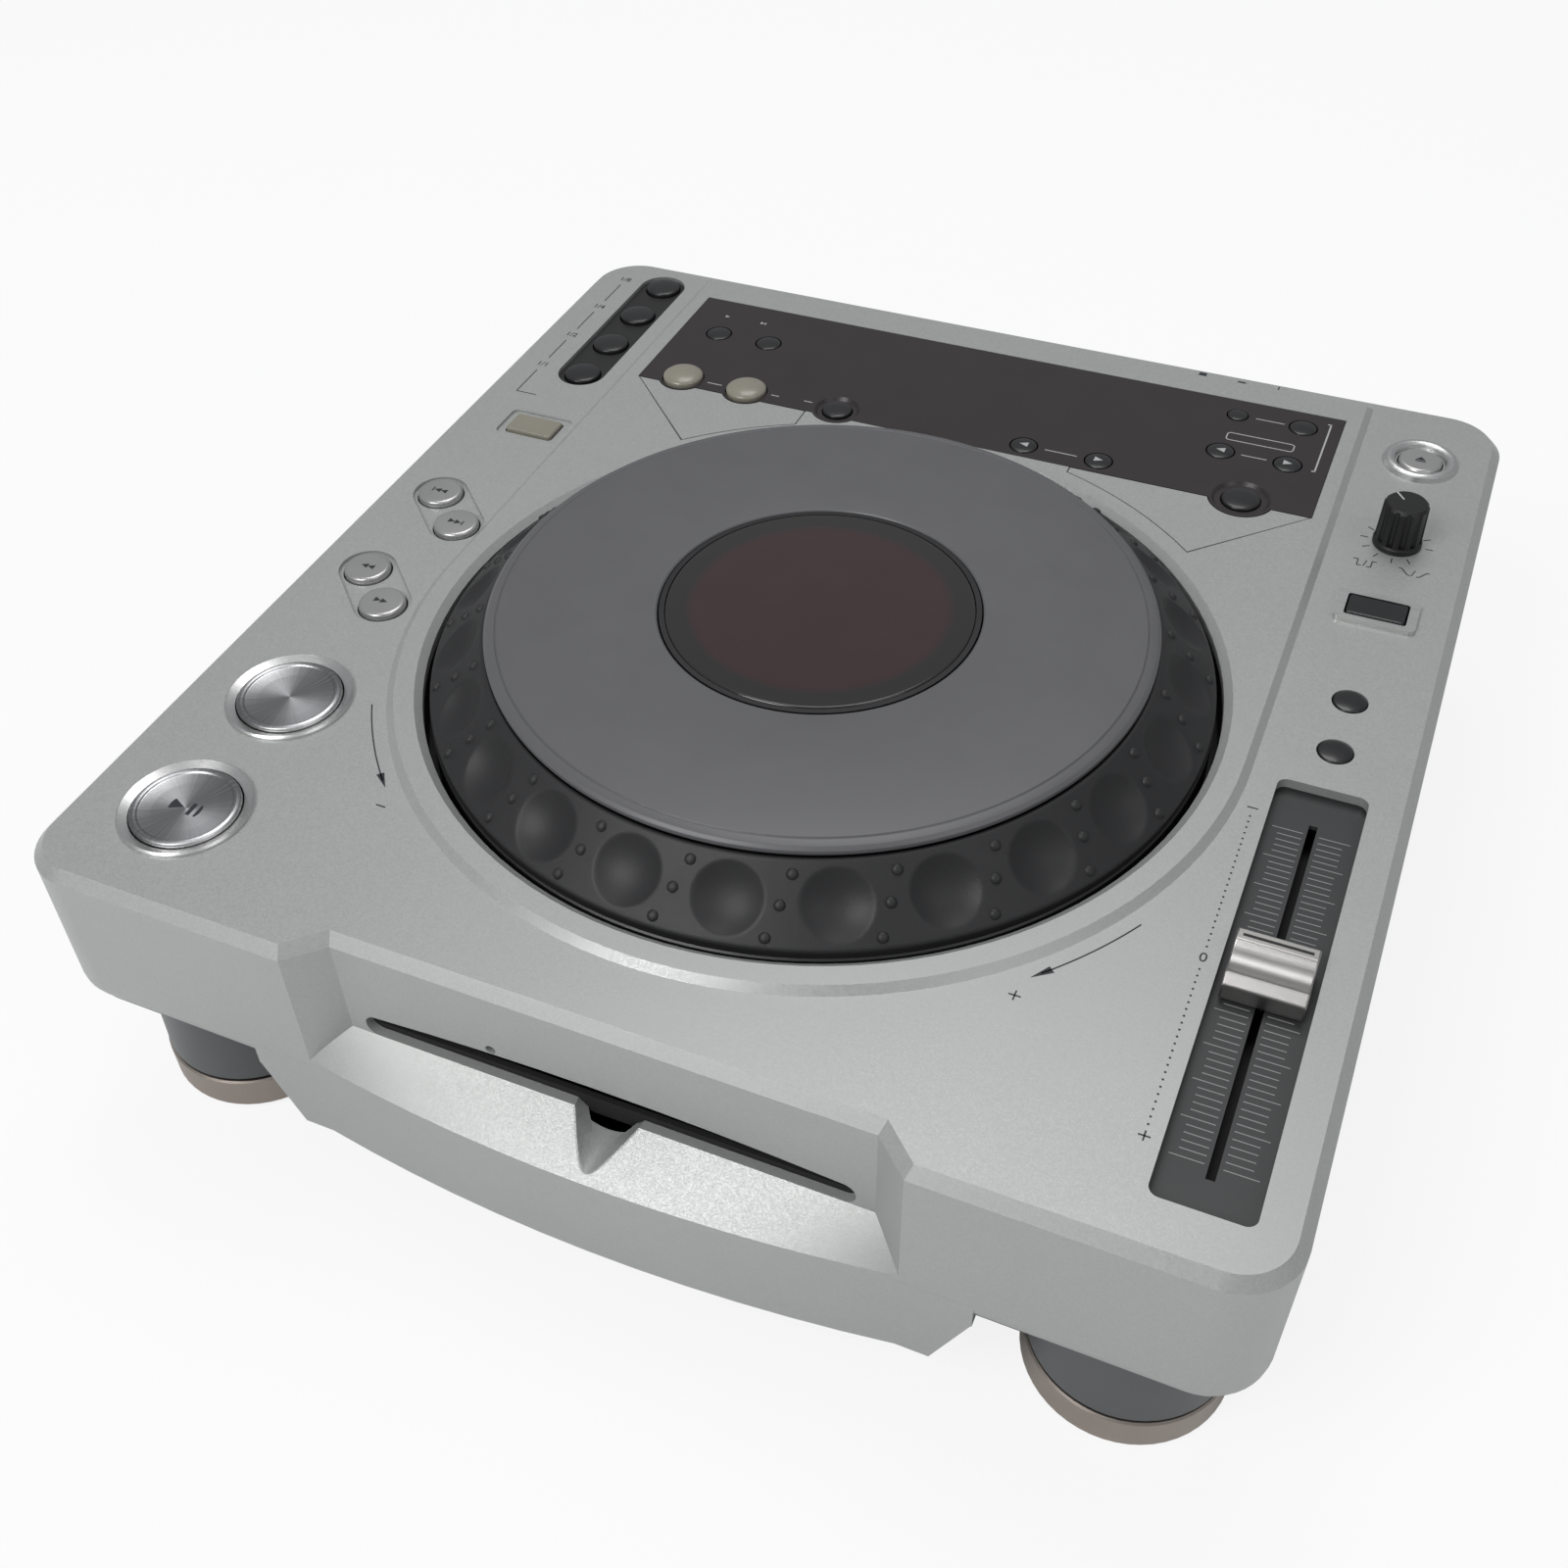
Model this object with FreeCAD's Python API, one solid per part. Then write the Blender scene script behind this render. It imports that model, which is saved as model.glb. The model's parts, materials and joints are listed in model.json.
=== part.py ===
import FreeCAD, Part
import math
import os

# Tabletop disc player for mixing, in millimetres. The origin is on the table under the middle of
# the player, +X is to the user's right, +Y runs to the back and +Z is up.

os.makedirs("parts", exist_ok=True)
V = FreeCAD.Vector

# Case
foot_h = 41.2
side_h = 48.0
belly_drop = 20.0
front_margin = 36.0
rear_zone = 76.6
column_w = 39.0
chin_bulge = 5.8
jack_reach = 11.2
wall_t = 2.4
top_t = 2.6
back_corner_r = 16.5
front_corner_r = 15.0
top_chamfer = 2.7
bottom_fillet = 7.0
seam_gap = 0.4

# Raised middle and dial well
well_r = 104.2
lip_w = 2.0
rim_w = 5.3
plateau_h = 1.6
plateau_bevel = 2.0
plateau_back_gap = 6.0

# Disc slot, notch and chin at the front
notch_depth = 8.1
notch_half = 66.5
notch_flare = 8.5
shelf_top_drop = 31.3
shelf_front_drop = 39.0
belly_top_half = 92.0
belly_flank = 9.0
chin_return = 16.0
slot_half = 62.0
slot_end_h = 6.6
slot_arch = 2.8
felt_t = 1.4
felt_gap_end = 4.4
felt_margin = 4.0
felt_floor_h = 2.0
scoop_r = 11.0
scoop_depth = 5.5
scoop_tip_r = 2.0
scoop_len = 20.0
scoop_slant = 0.62
scoop_x = 1.5
pinhole_r = 1.3
pinhole_x = -27.2
pinhole_rise = 10.3

# Dial
tub_t = 1.8
tub_depth = 13.0
post_r = 38.0
post_wall = 2.0
dial_floor_gap = 2.0
dial_edge_gap = 1.7
ring_rise = 1.3
cone_h = 14.4
cone_w = 15.8
ring_t = 3.0
ring_edge_t = 2.5
plate_over_ring = 2.7
head_t = 4.0
display_t = 3.5
dimple_count = 24
dimple_r = 8.7
dimple_depth = 2.0
dimple_phase = 9.5
hub_t = 2.4
bearing_gap = 0.08
plate_t = 1.6
plate_overhang = 0.4
plate_groove_in = 3.2
plate_bevel = 1.2
plate_press = 0.5
lens_r = 39.8
lens_t = 1.5
lens_gap = 2.0

# Display panel on the raised middle
panel_back = 18.2
panel_d = 54.2
panel_margin = 4.6
panel_t = 1.3
panel_pocket_gap = 0.2
panel_ledge = 5.0
module_back = 5.5
module_d = 26.0
module_left_in = 73.9
module_right_in = 44.9
cheek_drop = 31.0
cheek_in = 31.0
cheek_tip_left = 49.0
cheek_tip_right = 36.0

# Buttons
black_cap_r = 4.0
black_proud = 0.5
tiny_cap_r = 3.0
pearl_cap_r = 6.4
pearl_proud = 2.6
pearl_rim_r = 7.4
ring_cap_r = 4.5
ring_rim_r = 7.9
quick_cap_r = 5.5
quick_rim_r = 9.3
ring_proud = 0.4
dish_rim = 0.8
dish_depth = 0.9
press = 0.8
cap_gap = 0.4
flange_w = 1.4
flange_t = 1.2
flange_share = 0.45
rest_gap = 0.3
stem_r = 1.6
switch_w = 6.0
switch_h = 4.3
board_t = 1.6
board_drop = 12.0
board_gap = 1.4
board_side_gap = 9.4
board_front_gap = 7.0
board_back_gap = 3.0
post_half = 1.8
post_tip_half = 1.0
post_in_x = 2.0
post_in_y = 3.0

# Left column
strip_inset = 26.15
strip_half = 7.85
strip_back = 7.5
strip_len = 75.2
strip_recess = 1.2
strip_t = 1.2
strip_lip = 1.2
loop_count = 4
loop_r = 5.7
loop_first = 7.0
loop_pitch = 20.1
loop_proud = 0.6
reverse_inset = 26.9
reverse_from_strip = 26.0
reverse_w = 15.6
reverse_d = 9.0
reverse_bezel_w = 21.0
reverse_bezel_d = 13.5
reverse_recess = 0.8
reverse_proud = 0.5
pair_inset = 24.7
pair_dx = 6.3
pair_dy = 6.1
pair_from_front = 124.1
pair_pitch = 39.9
pair_cap_r = 6.6
pair_recess_r = 8.2
pair_recess = 1.0
pair_proud = 0.9
transport_inset = 30.1
play_from_front = 30.7
transport_pitch = 44.2
transport_ring_r = 16.7
transport_ring_in = 14.1
transport_ring_h = 1.2
transport_cap_r = 13.7
transport_proud = 1.4

# Right column
column_inset = 21.5
eject_from_back = 30.5
eject_ring_r = 11.0
eject_ring_in = 7.0
eject_ring_h = 2.0
eject_cap_r = 6.3
eject_proud = 1.2
knob_step = 43.0
knob_r = 6.1
knob_skirt_r = 6.7
knob_h = 13.8
knob_flutes = 12
knob_flute_r = 0.9
knob_pointer_turn = 38.0
shaft_r = 3.0
pot_h = 8.0
mode_step = 34.0
mode_bezel_w = 21.5
mode_bezel_d = 13.0
mode_bezel_h = 1.4
mode_cap_w = 15.5
mode_cap_d = 8.6
mode_proud = 1.6
small_cap_r = 4.2
small_proud = 0.5
tempo_from_fader = 14.0
tempo_pitch = 20.1

# Tempo fader
fader_from_front = 13.8
fader_recess_l = 127.0
fader_recess_w = 21.7
fader_corner_r = 2.5
fader_recess_depth = 3.5
fader_panel_t = 1.2
fader_fit = 0.2
fader_travel = 100.0
fader_slot_end = 1.05
fader_slot_w = 2.0
fader_cap_w = 18.2
fader_cap_l = 15.4
fader_cap_h = 7.2
fader_cap_lift = 1.0
fader_scoop = 2.3
fader_lever_w = 4.6
fader_lever_t = 1.2
fader_track_w = 9.0
fader_track_h = 8.0
fader_track_end = 6.0

# Feet
foot_inset_x = 30.5
foot_inset_y = 31.1
foot_collar_r = 24.4
foot_collar_h = 28.8
foot_groove_h = 1.2
foot_groove_in = 2.0
foot_ring_r = 24.8
foot_pad_r = 20.0
foot_pad_h = 3.0
foot_pad_out = 0.5

# Inside
pan_t = 1.5
pan_gap = 0.3
boss_r = 4.0
boss_hole_r = 1.4
boss_hole_h = 12.0
boss_from_back = 40.0
pan_hole_r = 1.6
belly_back_gap = 24.0
drive_side_gap = 11.0
drive_wall = 1.5
drive_floor_h = 6.0
drive_window_w = 70.0
drive_window_d = 84.0
drive_tail = 2.6
drive_corner_r = 8.0
bracket_half = 6.0
bracket_t = 4.0
bracket_back = 30.0
disc_drop = 28.0
guide_rise = 4.0
guide_t = 2.0
roller_r = 4.5
roller_shaft_r = 2.0
roller_gap = 1.0
roller_back = 9.0
roller_half = 62.0
shaft_gap = 0.05
spindle_back = 70.0
hub_rest_drop = 3.4
hub_cone_r = 7.4
hub_table_r = 15.0
hub_table_t = 1.5
hub_neck_r = 5.0
hub_cone_h = 2.4
disc_table_gap = 0.6
table_over_motor = 2.5
motor_r = 14.0
motor_h = 9.0
traverse_w = 66.0
traverse_t = 2.0
pivot_r = 1.8
traverse_turn = 3.0
sled_start = 24.0
sled_travel = 34.0
sled_w = 40.0
sled_d = 16.0
sled_h = 6.0
rod_r = 1.5
rod_half = 16.0
rod_drop = 5.5
standoff_h = 6.0
standoff_in = 4.0
board_side_in = 12.0
main_board_front = 62.0
main_board_len = 199.0
chip_count = 3
chip_w = 18.0
chip_h = 2.4
supply_back = 60.0
supply_len = 90.0
transformer_w = 32.0
transformer_h = 17.0
capacitor_count = 2
capacitor_r = 5.5
capacitor_h = 16.0
rod_clear = 0.7
rod_block = 2.5
pivot_gap = 0.5
spindle_front = 18.0
traverse_window_in = 18.0
pickup_lens_r = 3.0
pickup_lens_h = 1.5

# Rear connectors
rear_panel_w = 200.0
rear_panel_h = 30.6
rear_panel_rise = 19.0
rear_window_h = 22.0
rear_panel_t = 1.2
jack_r = 4.15
jack_flange_r = 5.6
jack_body_len = 4.0
jack_neck = 0.4
jack_neck_in = 0.6
jack_bore_r = 1.6
jack_bore_depth = 8.0
jack_pitch = 14.0
digital_step = 36.4
hole_gap = 0.2
inlet_from_end = 24.0
inlet_w = 24.0
inlet_gap = 0.1
flange_out = 2.0
flange_depth = 1.5
inlet_h = 16.0
inlet_out = 2.0
inlet_depth = 16.0
socket_w = 14.2
socket_h = 8.4
socket_depth = 12.0
socket_pin_r = 1.2
socket_pin_half = 4.3
socket_pin_len = 11.0
power_x = 85.0
power_w = 12.0
power_h = 8.0
power_press = 3.0
power_out = power_press + 1.0
power_stem = power_press + 3.5

# Places that follow from the sizes
plateau_r = well_r + lip_w + rim_w
side_x = plateau_r + plateau_bevel + column_w
panel_half = plateau_r - panel_margin
drive_half = belly_top_half - belly_flank - drive_side_gap
case_d = front_margin + 2 * well_r + rear_zone
front_y = -(case_d + chin_bulge + jack_reach) / 2 + chin_bulge
back_y = front_y + case_d
dial_y = front_y + front_margin + well_r
side_z = foot_h
top_z = foot_h + side_h
deck_z = top_z + plateau_h
belly_z = side_z - belly_drop
under_z = top_z - top_t
slot_wall_y = front_y + notch_depth
chin_half = notch_half + notch_flare
board_z = under_z - board_drop
switch_z = board_z + switch_h
stem_end_z = switch_z + press + rest_gap
fader_x = side_x - column_inset
fader_y = front_y + fader_from_front + fader_recess_l / 2
fader_back_y = fader_y + fader_recess_l / 2
disc_z = top_z - disc_drop
drive_front_y = slot_wall_y + wall_t + felt_t + rest_gap
spindle_y = drive_front_y + spindle_back
sled_end_y = spindle_y + sled_start + sled_travel + sled_d / 2 + rod_clear
pivot_y = sled_end_y + rod_block + pivot_gap
drive_back_y = pivot_y + drive_tail
pan_z = side_z
rear_z = side_z + rear_panel_rise


def box(x0, x1, y0, y1, z0, z1):
    return Part.makeBox(x1 - x0, y1 - y0, z1 - z0, V(x0, y0, z0))


def rod(x, y, z0, z1, r):
    return Part.makeCylinder(r, z1 - z0, V(x, y, z0))


def along_y(x, z, y0, y1, r):
    return Part.makeCylinder(r, y1 - y0, V(x, y0, z), V(0, 1, 0))


def along_x(half, y, z, r):
    return Part.makeCylinder(r, 2 * half, V(-half, y, z), V(1, 0, 0))


def prism(wire, z0, z1):
    face = Part.Face(wire)
    face.translate(V(0, 0, z0 - wire.BoundBox.ZMin))
    return face.extrude(V(0, 0, z1 - z0))


def turned(profile, x, y):
    """Closed (radius, height) profile revolved about the upright axis through (x, y)."""
    points = [V(r, 0, z) for r, z in profile]
    face = Part.Face(Part.makePolygon(points + [points[0]]))
    body = face.revolve(V(0, 0, 0), V(0, 0, 1), 360)
    body.translate(V(x, y, 0))
    return body


def rounded(points, radii):
    """Flat wire through the (x, y) points, with each corner rounded by its radius."""
    edges = []
    ends = []
    count = len(points)
    for i in range(count):
        here = V(points[i][0], points[i][1], 0)
        back = V(points[i - 1][0], points[i - 1][1], 0) - here
        ahead = V(points[(i + 1) % count][0], points[(i + 1) % count][1], 0) - here
        back.normalize()
        ahead.normalize()
        r = radii[i]
        if r <= 0:
            ends.append((here, here))
            continue
        half = back.getAngle(ahead) / 2
        reach = r / math.tan(half)
        start = here + back * reach
        end = here + ahead * reach
        inward = back + ahead
        inward.normalize()
        middle = here + inward * (r / math.sin(half) - r)
        edges.append((i, Part.Arc(start, middle, end).toShape()))
        ends.append((start, end))
    arcs = dict(edges)
    loop = []
    for i in range(count):
        if i in arcs:
            loop.append(arcs[i])
        loop.append(Part.LineSegment(ends[i][1], ends[(i + 1) % count][0]).toShape())
    return Part.Wire(loop)


def round_box(x, y, w, d, r, z0, z1):
    x0, x1, y0, y1 = x - w / 2, x + w / 2, y - d / 2, y + d / 2
    wire = rounded([(x0, y0), (x1, y0), (x1, y1), (x0, y1)], [r] * 4)
    return prism(wire, z0, z1)


def joined(shapes):
    body = shapes[0]
    if len(shapes) > 1:
        body = body.fuse(shapes[1:])
    return body.removeSplitter()


def cut(body, tools):
    return body.cut(Part.makeCompound(tools)) if tools else body


def save(node, shape):
    if shape.ShapeType == "Compound" and len(shape.Solids) == 1:
        shape = shape.Solids[0]
    if not shape.isValid() or not shape.Solids:
        raise ValueError(node + " is not a sound solid")
    shape.exportStep("parts/" + node + ".step")


def save_group(node, shapes):
    save(node, Part.makeCompound(shapes))


# Case

def case_outline(inset):
    x, y0, y1 = side_x - inset, front_y + inset, back_y - inset
    rf, rb = front_corner_r - inset, back_corner_r - inset
    return rounded([(-x, y0), (x, y0), (x, y1), (-x, y1)], [rf, rf, rb, rb])


def belly_wire(inset):
    """Front view of the hanging middle: slanted flanks and a flat underside."""
    top, low = belly_top_half - inset, belly_top_half - belly_flank - inset
    points = [V(-low, 0, belly_z), V(low, 0, belly_z), V(top, 0, side_z), V(top, 0, top_z - inset),
              V(-top, 0, top_z - inset), V(-top, 0, side_z)]
    return Part.makePolygon(points + [points[0]])


def chin_plan(inset):
    """Plan of the bulging front: an arc between the notch corners, straight beside it."""
    y0 = front_y + inset
    y1 = front_y + chin_return
    wide = belly_top_half - inset
    arc = Part.Arc(V(-chin_half, y0, 0), V(0, y0 - chin_bulge, 0), V(chin_half, y0, 0)).toShape()
    run = [V(chin_half, y0, 0), V(wide, y0, 0), V(wide, y1, 0), V(-wide, y1, 0),
           V(-wide, y0, 0), V(-chin_half, y0, 0)]
    return Part.Wire([arc] + Part.makePolygon(run).Edges)


def chin_block(inset):
    plan = prism(chin_plan(inset), belly_z - 1, side_z + 1)
    front = Part.Face(belly_wire(inset))
    front.translate(V(0, front_y - chin_bulge - 1, 0))
    return plan.common(front.extrude(V(0, chin_return + chin_bulge + 2, 0)))


def chin_upper(inset):
    """Bulging front between the shelf edge and the side walls' underside."""
    y0 = front_y + inset
    arc = Part.Arc(V(-chin_half, y0, 0), V(0, y0 - chin_bulge, 0), V(chin_half, y0, 0)).toShape()
    back = [V(chin_half, y0, 0), V(chin_half, y0 + chin_return, 0),
            V(-chin_half, y0 + chin_return, 0), V(-chin_half, y0, 0)]
    plan = Part.Wire([arc] + Part.makePolygon(back).Edges)
    return prism(plan, side_z - 1, top_z - inset)


def notch_tool(grow):
    """Space in front of the slot wall and above the sloping shelf, grown by a wall."""
    half, wide = notch_half + grow, chin_half + grow
    yw, yf, yo = slot_wall_y + grow, front_y + grow, front_y - chin_bulge - 5
    z_high = top_z - shelf_top_drop - grow
    z_low = top_z - shelf_front_drop - grow
    plan = [V(-half, yw, 0), V(half, yw, 0), V(wide, yf, 0), V(wide, yo, 0), V(-wide, yo, 0),
            V(-wide, yf, 0)]
    column = prism(Part.makePolygon(plan + [plan[0]]), z_low, top_z + 5)
    arc = Part.Arc(V(-wide, yf, z_low), V(0, yf - chin_bulge, z_low), V(wide, yf, z_low)).toShape()
    low = [V(wide, yf, z_low), V(wide, yo, z_low), V(-wide, yo, z_low), V(-wide, yf, z_low)]
    high = [V(-wide, yw, z_high), V(wide, yw, z_high), V(wide, yo, z_high), V(-wide, yo, z_high)]
    lower_wire = Part.Wire([arc] + Part.makePolygon(low).Edges)
    upper_wire = Part.makePolygon(high + [high[0]])
    ramp = Part.makeLoft([lower_wire, upper_wire], True, True)
    above = box(-wide, wide, yo, yw, z_high, top_z + 5)
    return column.common(ramp.fuse(above))


def plateau():
    """Raised U on the top: a flat disc round the dial and a straight run to the back."""
    low_r = plateau_r + plateau_bevel
    z0 = top_z - 0.5
    disc = turned([(0, z0), (low_r, z0), (low_r, top_z), (plateau_r, deck_z), (0, deck_z)], 0, dial_y)
    y1 = back_y - plateau_back_gap
    section = [V(-low_r, dial_y, z0), V(low_r, dial_y, z0), V(low_r, dial_y, top_z),
               V(plateau_r, dial_y, deck_z), V(-plateau_r, dial_y, deck_z), V(-low_r, dial_y, top_z)]
    run = Part.Face(Part.makePolygon(section + [section[0]])).extrude(V(0, y1 - dial_y, 0))
    slope = [V(0, y1, top_z), V(0, y1 - plateau_bevel, deck_z), V(0, y1, deck_z)]
    back_cut = Part.Face(Part.makePolygon(slope + [slope[0]])).extrude(V(2 * low_r, 0, 0))
    back_cut.translate(V(-low_r, 0, 0))
    return disc.fuse(run).cut(back_cut)


def slot_wire(half, end_h, arch, z_floor):
    """Slot seen from the front: flat floor, rounded ends and a top that rises to the middle."""
    r = end_h / 2
    zc = z_floor + r
    left = Part.Arc(V(-half + r, 0, z_floor + end_h), V(-half, 0, zc), V(-half + r, 0, z_floor))
    right = Part.Arc(V(half - r, 0, z_floor), V(half, 0, zc), V(half - r, 0, z_floor + end_h))
    top = Part.Arc(V(half - r, 0, z_floor + end_h), V(0, 0, z_floor + end_h + arch),
                   V(-half + r, 0, z_floor + end_h))
    floor = Part.LineSegment(V(-half + r, 0, z_floor), V(half - r, 0, z_floor))
    return Part.Wire([left.toShape(), floor.toShape(), right.toShape(), top.toShape()])


def through_y(wire, y0, y1):
    face = Part.Face(wire)
    face.translate(V(0, y0, 0))
    return face.extrude(V(0, y1 - y0, 0))


def finger_scoop():
    """Slanted cone that hollows the shelf where a finger takes the disc's edge."""
    axis_y = slot_wall_y + wall_t
    z = top_z - shelf_top_drop
    cone = Part.makeCone(scoop_r, scoop_tip_r, scoop_len, V(scoop_x, axis_y, z + scoop_r - scoop_depth),
                         V(0, -1, -scoop_slant))
    return cone.common(box(scoop_x - 2 * scoop_r, scoop_x + 2 * scoop_r, front_y - chin_bulge, axis_y,
                           z - scoop_len, z + scoop_depth))


def fader_recess():
    return round_box(fader_x, fader_y, fader_recess_w, fader_recess_l, fader_corner_r,
                     under_z - 1, top_z + 1)


def panel_outline(grow, z0, z1):
    y1 = back_y - panel_back + grow
    y0 = back_y - panel_back - panel_d - grow
    return box(-panel_half - grow, panel_half + grow, y0, y1, z0, z1)


def cheek_plan(grow, z0, z1):
    """Slanted silver inlays between the display panel and the dial."""
    y1 = back_y - panel_back - panel_d
    low = [(-panel_half - grow, y1), (-panel_half + cheek_in - grow, y1 - cheek_drop - grow),
           (panel_half - cheek_in + grow, y1 - cheek_drop - grow), (panel_half + grow, y1)]
    body = prism(rounded(low, [0] * 4), z0, z1)
    middle = box(-cheek_tip_left + grow, cheek_tip_right - grow, y1 - cheek_drop - 5, y1 + 5,
                 z0 - 1, z1 + 1)
    return body.cut([rod(0, dial_y, z0 - 1, z1 + 1, plateau_r - grow), middle])


def round_controls():
    """Every round hole in the top: centre, hole radius."""
    found = []
    for y in (play_y, cue_y):
        found.append((transport_x, y, transport_cap_r + cap_gap))
    for x, y in pair_places():
        found.append((x, y, pair_cap_r + cap_gap))
    found.append((fader_x, eject_y, eject_cap_r + cap_gap))
    found.append((fader_x, knob_y, shaft_r + cap_gap))
    for y in (master_y, range_y):
        found.append((fader_x, y, small_cap_r + cap_gap))
    for name, x, y, r, proud in panel_buttons():
        found.append((x, y, r + cap_gap))
    return found


# Places of the controls
strip_x = -side_x + strip_inset
strip_y = back_y - strip_back - strip_len / 2
reverse_x = -side_x + reverse_inset
reverse_y = strip_y - strip_len / 2 - reverse_from_strip
pair_x = -side_x + pair_inset
search_y = front_y + pair_from_front
track_y = search_y + pair_pitch
transport_x = -side_x + transport_inset
play_y = front_y + play_from_front
cue_y = play_y + transport_pitch
eject_y = back_y - eject_from_back
knob_y = eject_y - knob_step
mode_y = knob_y - mode_step
master_y = fader_back_y + tempo_from_fader
range_y = master_y + tempo_pitch


def pair_places():
    places = []
    for y in (track_y, search_y):
        places.append((pair_x - pair_dx, y + pair_dy))
        places.append((pair_x + pair_dx, y - pair_dy))
    return places


def top_cover():
    outer = prism(case_outline(0), side_z, top_z)
    outer = joined([outer, chin_upper(0)]).cut(notch_tool(0))
    rim = [e for e in outer.Edges if e.BoundBox.ZMin > top_z - 0.01]
    outer = outer.makeChamfer(top_chamfer, rim)
    foot = [e for e in outer.Edges if e.BoundBox.ZMax < side_z + 0.01 and on_side(e)]
    outer = outer.makeFillet(bottom_fillet, foot)
    outer = outer.fuse([chin_block(0), plateau()])
    hollow = prism(case_outline(wall_t), side_z - 1, under_z)
    hollow = hollow.cut(notch_tool(wall_t))
    body = outer.cut([hollow, chin_hollow()])
    body = body.fuse(cover_bosses())
    return cut(body, cover_cuts()).removeSplitter()


def on_side(edge):
    """True for the underside edges of the side and back walls and their corners."""
    middle = edge.BoundBox.Center
    return abs(middle.x) > belly_top_half or middle.y > front_y + chin_return


def chin_hollow():
    hollow = chin_block(wall_t).fuse(prism(chin_plan(wall_t), side_z - 1, side_z + 1))
    low = box(-belly_top_half, belly_top_half, front_y + wall_t, back_y, belly_z - 1, belly_z + 1)
    return hollow.fuse(low.common(chin_block(wall_t)))


def boss_places():
    x = side_x - wall_t - boss_r - 1
    front_x = belly_top_half + 2 * boss_r
    y0, y1 = front_y + wall_t + 2 * boss_r, back_y - boss_from_back
    return [(-front_x, y0), (front_x, y0), (-x, y1), (x, y1)]


def cover_bosses():
    """Screw pillars inside the cover that the floor pan and the boards are fixed to."""
    pillars = []
    for x, y in boss_places():
        hole = rod(x, y, pan_z, pan_z + boss_hole_h, boss_hole_r)
        pillars.append(rod(x, y, pan_z + pan_t, under_z + 0.5, boss_r).cut(hole))
    posts = [box(x - post_half, x + post_half, y - post_half, y + post_half, board_z, under_z + 0.5)
             for x, y in board_posts()]
    return pillars + posts


def cover_cuts():
    z0, z1 = under_z - 1, deck_z + 1
    tools = [turned([(0, z0), (well_r, z0), (well_r, top_z), (well_r + lip_w, deck_z),
                     (well_r + lip_w, z1), (0, z1)], 0, dial_y)]
    tools += [rod(x, y, z0, z1, r) for x, y, r in round_controls()]
    tools.append(fader_recess())
    tools.append(inlay(panel_pocket_gap, deck_z - panel_t, z1))
    tools.append(panel_outline(-panel_ledge, z0, z1))
    tools.append(cheek_plan(seam_gap / 2, deck_z - panel_t, z1))
    tools.append(round_box(strip_x, strip_y, 2 * strip_half, strip_len, strip_half - 0.01,
                           top_z - strip_recess - strip_t, z1))
    tools.append(round_box(strip_x, strip_y, 2 * strip_half - 2 * strip_lip,
                           strip_len - 2 * strip_lip, strip_half - strip_lip - 0.01, z0, z1))
    tools.append(round_box(reverse_x, reverse_y, reverse_bezel_w, reverse_bezel_d, 2.0,
                           top_z - reverse_recess, z1))
    tools.append(round_box(reverse_x, reverse_y, reverse_w + 2 * cap_gap, reverse_d + 2 * cap_gap,
                           1.4, z0, z1))
    tools.append(round_box(fader_x, mode_y, mode_cap_w + 2 * cap_gap + 2, mode_cap_d + 2 * cap_gap + 2,
                           1.0, z0, z1))
    for y in (track_y, search_y):
        tools.append(pair_recess_tool(y))
    tools.append(through_y(slot_wire(slot_half, slot_end_h, slot_arch, top_z - shelf_top_drop),
                           front_y - chin_bulge, slot_wall_y + wall_t + 0.1))
    tools.append(Part.makeCylinder(pinhole_r, wall_t + 2,
                                   V(pinhole_x, slot_wall_y - 1, top_z - shelf_top_drop + pinhole_rise),
                                   V(0, 1, 0)))
    tools.append(finger_scoop())
    tools.append(rear_window())
    return tools


def rear_window():
    half = rear_panel_w / 2 - panel_ledge
    high = rear_window_h / 2
    return box(-half, half, back_y - wall_t - 1, back_y + 1, rear_z - high, rear_z + high)


def pair_recess_tool(y):
    """Shallow slanted recess round a pair of keys."""
    length = 2 * math.hypot(pair_dx, pair_dy) + 2 * pair_recess_r
    body = round_box(0, 0, length, 2 * pair_recess_r, pair_recess_r - 0.01,
                     top_z - pair_recess, top_z + 1)
    body.rotate(V(0, 0, 0), V(0, 0, 1), -math.degrees(math.atan2(pair_dy, pair_dx)))
    body.translate(V(pair_x, y, 0))
    return body


def button_list():
    """Round push buttons: name, centre, cap radius, how far it stands over the top face."""
    found = [("play", transport_x, play_y, transport_cap_r, transport_proud),
             ("cue", transport_x, cue_y, transport_cap_r, transport_proud),
             ("eject", fader_x, eject_y, eject_cap_r, eject_proud),
             ("tempo_range", fader_x, range_y, small_cap_r, small_proud),
             ("master_tempo", fader_x, master_y, small_cap_r, small_proud)]
    names = ["track_back", "track_forward", "search_back", "search_forward"]
    for name, (x, y) in zip(names, pair_places()):
        found.append((name, x, y, pair_cap_r, pair_proud))
    for i in range(loop_count):
        y = strip_y + strip_len / 2 - loop_first - i * loop_pitch
        found.append(("loop_" + str(i + 1), strip_x, y, loop_r, loop_proud))
    return found


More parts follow.
